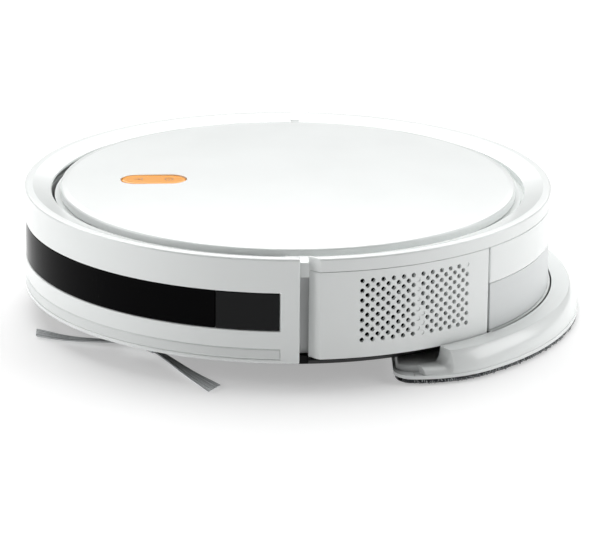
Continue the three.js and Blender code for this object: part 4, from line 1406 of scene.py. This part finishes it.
def caster_fork():
    """The swivelling dome that holds the caster's wheel, open below for it."""
    radius = FORK_HIGH.x
    profile = softened([(0, 5.5, 0), (radius, 5.5, 1.5), (radius, 24.5, 1.5), (4, 26, 0)])
    return turned(profile + [(4, 34), (0, 34)], centre=(0, CASTER_Y), step=6)


def caster_wheel():
    profile = softened([(1.6, -6, 0), (9.5, -6, 1.2), (9.5, -0.8, 0.3), (8.7, 0, 0.3), (9.5, 0.8, 0.3)])
    profile = profile + softened([(9.5, 0.8, 0), (9.5, 6, 1.2), (1.6, 6, 0)])
    axle = prism(circle(0, 0, 1.6, 20), -12, 12)
    return [across(turned(profile, step=6), *CASTER_AXLE), across(axle, *CASTER_AXLE)]


def coil(radius, wire, height, turns):
    """A compression spring that stands on z = 0, with its end turns closed."""
    path = []
    for k in range(int(turns * 24) + 1):
        t = k / (turns * 24)
        lift = t * t * (3 - 2 * t) * 0.3 + t * 0.7
        x, y = polar(radius - wire / 2, 360 * turns * t)
        path.append((x, y, wire / 2 + (height - wire) * lift))
    return tube(path, wire / 2, 8)


class ROBOT_OT_wheels(bpy.types.Operator):
    """Builds the drive wheels, the caster and the springs"""

    bl_idname = "robot.wheels"
    bl_label = "Wheels and springs"

    def execute(self, context):
        make_pair("wheel_tyre", [tyre()], "tyre_rubber", "{}_wheel", edge=0.25)
        make_pair("wheel_hub", wheel_hub(), "grey_abs", "{}_wheel", edge=0.4)
        low, high = span("left_wheel_spring")
        spring = moved(coil(5, 1.2, high.z - low.z, 6), 87.5, -12, low.z)
        make_pair("wheel_spring", [spring], "steel", "chassis")
        fork = make_piece("fine_caster_fork", [caster_fork()], "black_abs", "caster", ["caster_fork"])
        pin_hole = across(prism(circle(0, 0, 1.9), -20, 20), *CASTER_AXLE)
        carve(fork, block(-6.6, 6.6, -143, -101, 0, 21.5), pin_hole)
        roller = caster_wheel()
        make_piece("fine_caster_wheel", roller, "grey_abs", "caster_roller", ["caster_wheel"], edge=0.15)
        low, high = span("left_bumper_spring")
        length = high.y - low.y
        stood = coil(2.5, 0.8, length, 4)
        laid = [(40 + x, low.y + z, 45 + y) for x, y, z in stood[0]], [f[::-1] for f in stood[1]]
        for side, shape in (("left", laid), ("right", flipped(laid))):
            name = f"{side}_bumper_spring"
            piece = make_piece(f"fine_{name}", [shape], "steel", "chassis", [name])
            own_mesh(piece)
        return {"FINISHED"}


# ---- Main brush and side brushes ----

BRUSH_AXIS = (8, 19.5)
BRUSH_RADIUS = BRUSH_HIGH.z - BRUSH_AXIS[1]
BRUSH_CORE = 9
BRUSH_HALF = 72


def twist_at(x):
    """The brush's rows lean back from the middle to both ends, in a wide V."""
    return 40 * abs(x) / BRUSH_HALF


def brush_core():
    profile = [(0, -76), (3, -76), (3, -BRUSH_HALF), (BRUSH_CORE, -BRUSH_HALF), (BRUSH_CORE, BRUSH_HALF)]
    profile += [(3, BRUSH_HALF), (3, 76), (0, 76)]
    return across(turned(profile, step=6), *BRUSH_AXIS)


def brush_blade(start):
    """One soft blade, thick at its root and thin at its lip."""
    rows = []
    for x in steps(-BRUSH_HALF, BRUSH_HALF, 3):
        middle = start + twist_at(x)
        section = []
        for radius, half in ((BRUSH_CORE - 1, 9), (13, 4.5), (BRUSH_RADIUS, 3), (BRUSH_RADIUS, -3)):
            section.append((*polar(radius, middle + half), x))
        section += [(*polar(13, middle - 4.5), x), (*polar(BRUSH_CORE - 1, middle - 9), x)]
        rows.append(section)
    return across(sweep(rows), *BRUSH_AXIS)


def brush_bristles(start):
    """A row of bristle tufts set into the core."""
    pick = random.Random(int(start))
    strands = []
    for x in steps(-BRUSH_HALF + 2, BRUSH_HALF - 2, 3):
        for _ in range(9):
            lean = pick.uniform(-7, 7)
            middle = start + twist_at(x)
            root = (*polar(BRUSH_CORE - 0.5, middle), x + pick.uniform(-0.8, 0.8))
            tip = (*polar(BRUSH_RADIUS - pick.uniform(0, 1), middle + lean), x + pick.uniform(-1.8, 1.8))
            strands.append(across(tube([root, tip], 0.22, 4), *BRUSH_AXIS))
    return strands


# Each tuft's direction, length and sideways bow in plan.
TUFTS = [(-115, 72, 3), (32, 82, 1), (152, 78, -3)]
SIDE_BRUSH = ((HUB_LOW.x + HUB_HIGH.x) / 2, (HUB_LOW.y + HUB_HIGH.y) / 2)


def side_tuft(turn, length, bow, count, thickness, pick):
    """A fan of bristles that leaves the hub level, bows in plan and comes down to the floor."""
    slant = -3
    strands = []
    for k in range(count):
        across_share = 2 * (k + 0.5) / count - 1 + pick.uniform(-0.02, 0.02)
        own_length = length + slant * across_share + pick.uniform(-0.8, 0.2)
        layer = pick.uniform(-0.35, 0.35)
        path = []
        for r in steps(5, own_length, 9):
            share = (r - 4) / (length - 4)
            half_width = 1.7 + 4.3 * max(0, share) ** 1.5
            side = bow * math.sin(math.pi * min(1, r / length)) + across_share * half_width
            fall = min(1, max(0, (r - 8) / 52))
            height = 4.4 - 3.2 * fall * fall * (3 - 2 * fall) + layer * (1 - 0.4 * share)
            path.append((r, side, max(0.35, height)))
        strands.append(spun(tube(path, thickness / 2, 4, taper=0.7), turn))
    return strands


def tuft_root(turn):
    """The tapered socket that grips a tuft at the hub."""
    rows = []
    for x, half, low, high in ((4, 4.2, 3.9, 7), (11, 3.8, 3.8, 6.2), (16, 3.2, 3.6, 5.2)):
        outline = rectangle(-half, half, low, high, 0.7)
        rows.append([(x, a, b) for a, b in outline])
    return spun(sweep(rows), turn)


class ROBOT_OT_brushes(bpy.types.Operator):
    """Builds the main brush roller and the two side brushes"""

    bl_idname = "robot.brushes"
    bl_label = "Brushes"

    def execute(self, context):
        sizes = context.scene.robot_sizes
        roller = [brush_core()] + [brush_blade(start) for start in (0, 120, 240)]
        make_piece("fine_main_brush", roller, "brush_fins", "main_brush", ["main_brush"], edge=0.2)
        strands = [strand for start in (60, 180, 300) for strand in brush_bristles(start)]
        make_piece("main_brush_bristles", strands, "bristle_nylon", "main_brush")
        pick = random.Random(11)
        tufts = []
        for turn, length, bow in TUFTS:
            tufts += side_tuft(turn, length, bow, sizes.bristle_count, sizes.bristle / MM, pick)
        tufts = [moved(strand, *SIDE_BRUSH) for strand in tufts]
        make_pair("side_brush_bristles", tufts, "bristle_nylon", "{}_side_brush")
        hub = softened([(0, 5.3, 0), (9, 5.3, 1), (11, 7, 1), (11, 11, 0.8), (3, 11.5, 0)])
        shapes = [turned(hub + [(3, 17.9), (0, 17.9)], centre=SIDE_BRUSH, step=6)]
        shapes += [moved(tuft_root(turn), *SIDE_BRUSH) for turn, _, _ in TUFTS]
        make_pair("side_brush_hub", shapes, "brush_pale", "{}_side_brush", edge=0.25)
        screw = [screw_head(*SIDE_BRUSH, 4.4, 2.4)]
        make_pair("side_brush_screw", screw, "steel", "{}_side_brush", replaced=False)
        return {"FINISHED"}


# ---- What stays as the frame has it, with its own finish ----

KEPT_FINISHES = {
    "steel": ["brush_motor", "left_side_brush_motor", "right_side_brush_motor", "fan_motor"],
    "battery_wrap": ["battery_pack"],
    "board_green": ["main_board"],
    "black_abs": [
        "caster_socket",
        "suction_chamber",
        "fan_housing",
        "speaker",
        "dock_switch",
        "power_switch",
    ],
    "grey_abs": ["brush_gearbox", "left_wheel_arm", "right_wheel_arm"],
    "brush_pale": ["fan_impeller"],
    "filter_paper": ["dust_filter"],
    "tyre_rubber": ["inlet_flap"],
}


# Each chip's middle and half sizes, and each capacitor's middle.
CHIPS = [(-20, -80, 8, 8), (12, -96, 5, 6), (30, -70, 6, 4), (-42, -98, 4, 5)]
CHIPS += [(14, -60, 3, 3), (48, -84, 4, 3)]
CANS = [(-50, -60), (-50, -70), (48, -102), (40, -102)]


def board_parts():
    """Chips and capacitors on the main board."""
    top = span("main_board")[1].z
    chips = [block(x - w, x + w, y - d, y + d, top, top + 1.4) for x, y, w, d in CHIPS]
    cans = [prism(circle(x, y, 3.2), top, top + 8) for x, y in CANS]
    return chips, cans


class ROBOT_OT_inside(bpy.types.Operator):
    """Finishes the parts inside the casing that keep their CAD shapes"""

    bl_idname = "robot.inside"
    bl_label = "Inside"

    def execute(self, context):
        for finish, nodes in KEPT_FINISHES.items():
            for name in nodes:
                for material_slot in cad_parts[name].material_slots:
                    material_slot.material = bpy.data.materials[FINISHES[finish]]
        chips, cans = board_parts()
        make_piece("board_chips", chips, "chip", "chassis", edge=0.2)
        make_piece("board_capacitors", cans, "steel", "chassis", edge=0.3)
        return {"FINISHED"}


# ---- Stage ----

CAMERA_AZIMUTH = 89.0
CAMERA_ELEVATION = 16.291
CAMERA_DISTANCE = 2.2
CAMERA_ROLL = 0.429
CAMERA_LENS = 213.4
AIM_DOWN = 1.4243
AIM_RIGHT = 0.1925
AIM_HEIGHT = 78.8 * MM


def camera():
    """A long lens to the robot's left, a little above it, aimed just below the lid's centre."""
    azimuth, elevation = math.radians(CAMERA_AZIMUTH), math.radians(CAMERA_ELEVATION)
    flat = Vector((math.sin(azimuth), -math.cos(azimuth), 0))
    back = flat * math.cos(elevation) + Vector((0, 0, math.sin(elevation)))
    right = Vector((math.cos(azimuth), math.sin(azimuth), 0))
    tilt = Matrix.Rotation(math.radians(CAMERA_ROLL), 3, back)
    right = tilt @ right
    up = back.cross(right)
    look = (
        -back + right * math.tan(math.radians(AIM_RIGHT)) - up * math.tan(math.radians(AIM_DOWN))
    ).normalized()
    side = look.cross(up).normalized()
    data = bpy.data.cameras.new("camera")
    data.lens = CAMERA_LENS
    data.sensor_width = 36
    eye = bpy.data.objects.new("camera", data)
    turn = Matrix((side, side.cross(look), -look)).transposed().to_4x4()
    spot = Vector((0, AXIS_Y, AIM_HEIGHT)) + back * CAMERA_DISTANCE
    eye.matrix_world = Matrix.Translation(spot) @ turn
    bpy.context.scene.collection.objects.link(eye)
    bpy.context.scene.camera = eye


def softbox(name, place, aim, width, height, power):
    data = bpy.data.lights.new(name, "AREA")
    data.shape = "RECTANGLE"
    data.size, data.size_y = width, height
    data.energy = power
    lamp = bpy.data.objects.new(name, data)
    lamp.location = place
    lamp.rotation_euler = (Vector(aim) - Vector(place)).to_track_quat("-Z", "Y").to_euler()
    bpy.context.scene.collection.objects.link(lamp)


def floor(colour):
    """An opal acrylic light table: the light from below it leaves only a soft shadow under the robot."""
    tree, shader, place = start_material("Opal acrylic", Roughness=0.9, IOR=1.49, Specular_IOR_Level=0.1)
    shader.inputs["Emission Color"].default_value = (1, 1, 1, 1)
    shader.inputs["Emission Strength"].default_value = 0.38
    colour_out, tooth = mottle(tree, place, 40, colour, 0.004)
    tree.links.new(colour_out, shader.inputs["Base Color"])
    bump(tree, shader, tooth, 0.02)
    reach, below = 5, -0.0004
    mesh = bpy.data.meshes.new("floor")
    corners = [(-reach, -reach, below), (reach, -reach, below), (reach, reach, below), (-reach, reach, below)]
    mesh.from_pydata(corners, [], [(0, 1, 2, 3)])
    mesh.materials.append(bpy.data.materials["Opal acrylic"])
    ground = bpy.data.objects.new("floor", mesh)
    bpy.context.scene.collection.objects.link(ground)
    ground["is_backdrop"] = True


class ROBOT_OT_stage(bpy.types.Operator):
    """Makes the camera, the floor and the studio light, and the materials that every piece uses"""

    bl_idname = "robot.stage"
    bl_label = "Stage"

    def execute(self, context):
        settings = context.scene.robot_stage
        make_materials()
        camera()
        floor(list(settings.floor))
        softbox("overhead", (-1.6, 0, 1.9), (-0.7, 0, 0), 3.4, 3.4, settings.overhead)
        softbox("front_end", (0.1, -1.7, 0.7), (0, 0, 0.05), 1.4, 1.0, settings.ends)
        softbox("rear_end", (0.1, 1.7, 0.7), (0, 0, 0.05), 1.4, 1.0, settings.ends)
        world = bpy.data.worlds.new("studio")
        world.use_nodes = True
        world.node_tree.nodes["Background"].inputs["Strength"].default_value = 0.05
        world.node_tree.nodes["Background"].inputs["Color"].default_value = (1, 1, 1, 1)
        context.scene.world = world
        context.scene.view_settings.view_transform = "Standard"
        return {"FINISHED"}


class ROBOT_PT_panel(bpy.types.Panel):
    """Lists the robot's settings and its operators"""

    bl_idname = "ROBOT_PT_panel"
    bl_label = "Robot Vacuum"
    bl_space_type = "VIEW_3D"
    bl_region_type = "UI"
    bl_category = "Robot Vacuum"

    def draw(self, context):
        for group in (context.scene.robot_sizes, context.scene.robot_colours, context.scene.robot_stage):
            box = self.layout.box()
            for name in group.__annotations__:
                box.prop(group, name)
        for operator in OPERATORS:
            self.layout.operator(operator.bl_idname)


OPERATORS = (
    ROBOT_OT_stage,
    ROBOT_OT_casing,
    ROBOT_OT_bumper,
    ROBOT_OT_key,
    ROBOT_OT_module,
    ROBOT_OT_mop,
    ROBOT_OT_base,
    ROBOT_OT_wheels,
    ROBOT_OT_brushes,
    ROBOT_OT_inside,
)
CLASSES = (RobotSizes, RobotColours, StageSettings, *OPERATORS, ROBOT_PT_panel)


def register():
    for each in CLASSES:
        bpy.utils.register_class(each)
    bpy.types.Scene.robot_sizes = PointerProperty(type=RobotSizes)
    bpy.types.Scene.robot_colours = PointerProperty(type=RobotColours)
    bpy.types.Scene.robot_stage = PointerProperty(type=StageSettings)


def unregister():
    del bpy.types.Scene.robot_stage
    del bpy.types.Scene.robot_colours
    del bpy.types.Scene.robot_sizes
    for each in reversed(CLASSES):
        bpy.utils.unregister_class(each)


def write_sizes():
    boxes = {"cad": CAD_BOX, "visual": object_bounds()}
    plain = {name: [list(corner) for corner in corners] for name, corners in boxes.items()}


def main():
    register()
    bpy.ops.robot.stage()
    bpy.ops.robot.casing()
    bpy.ops.robot.bumper()
    bpy.ops.robot.key()
    bpy.ops.robot.module()
    bpy.ops.robot.mop()
    bpy.ops.robot.base()
    bpy.ops.robot.wheels()
    bpy.ops.robot.brushes()
    bpy.ops.robot.inside()
    write_sizes()


if __name__ == "__main__":
    main()
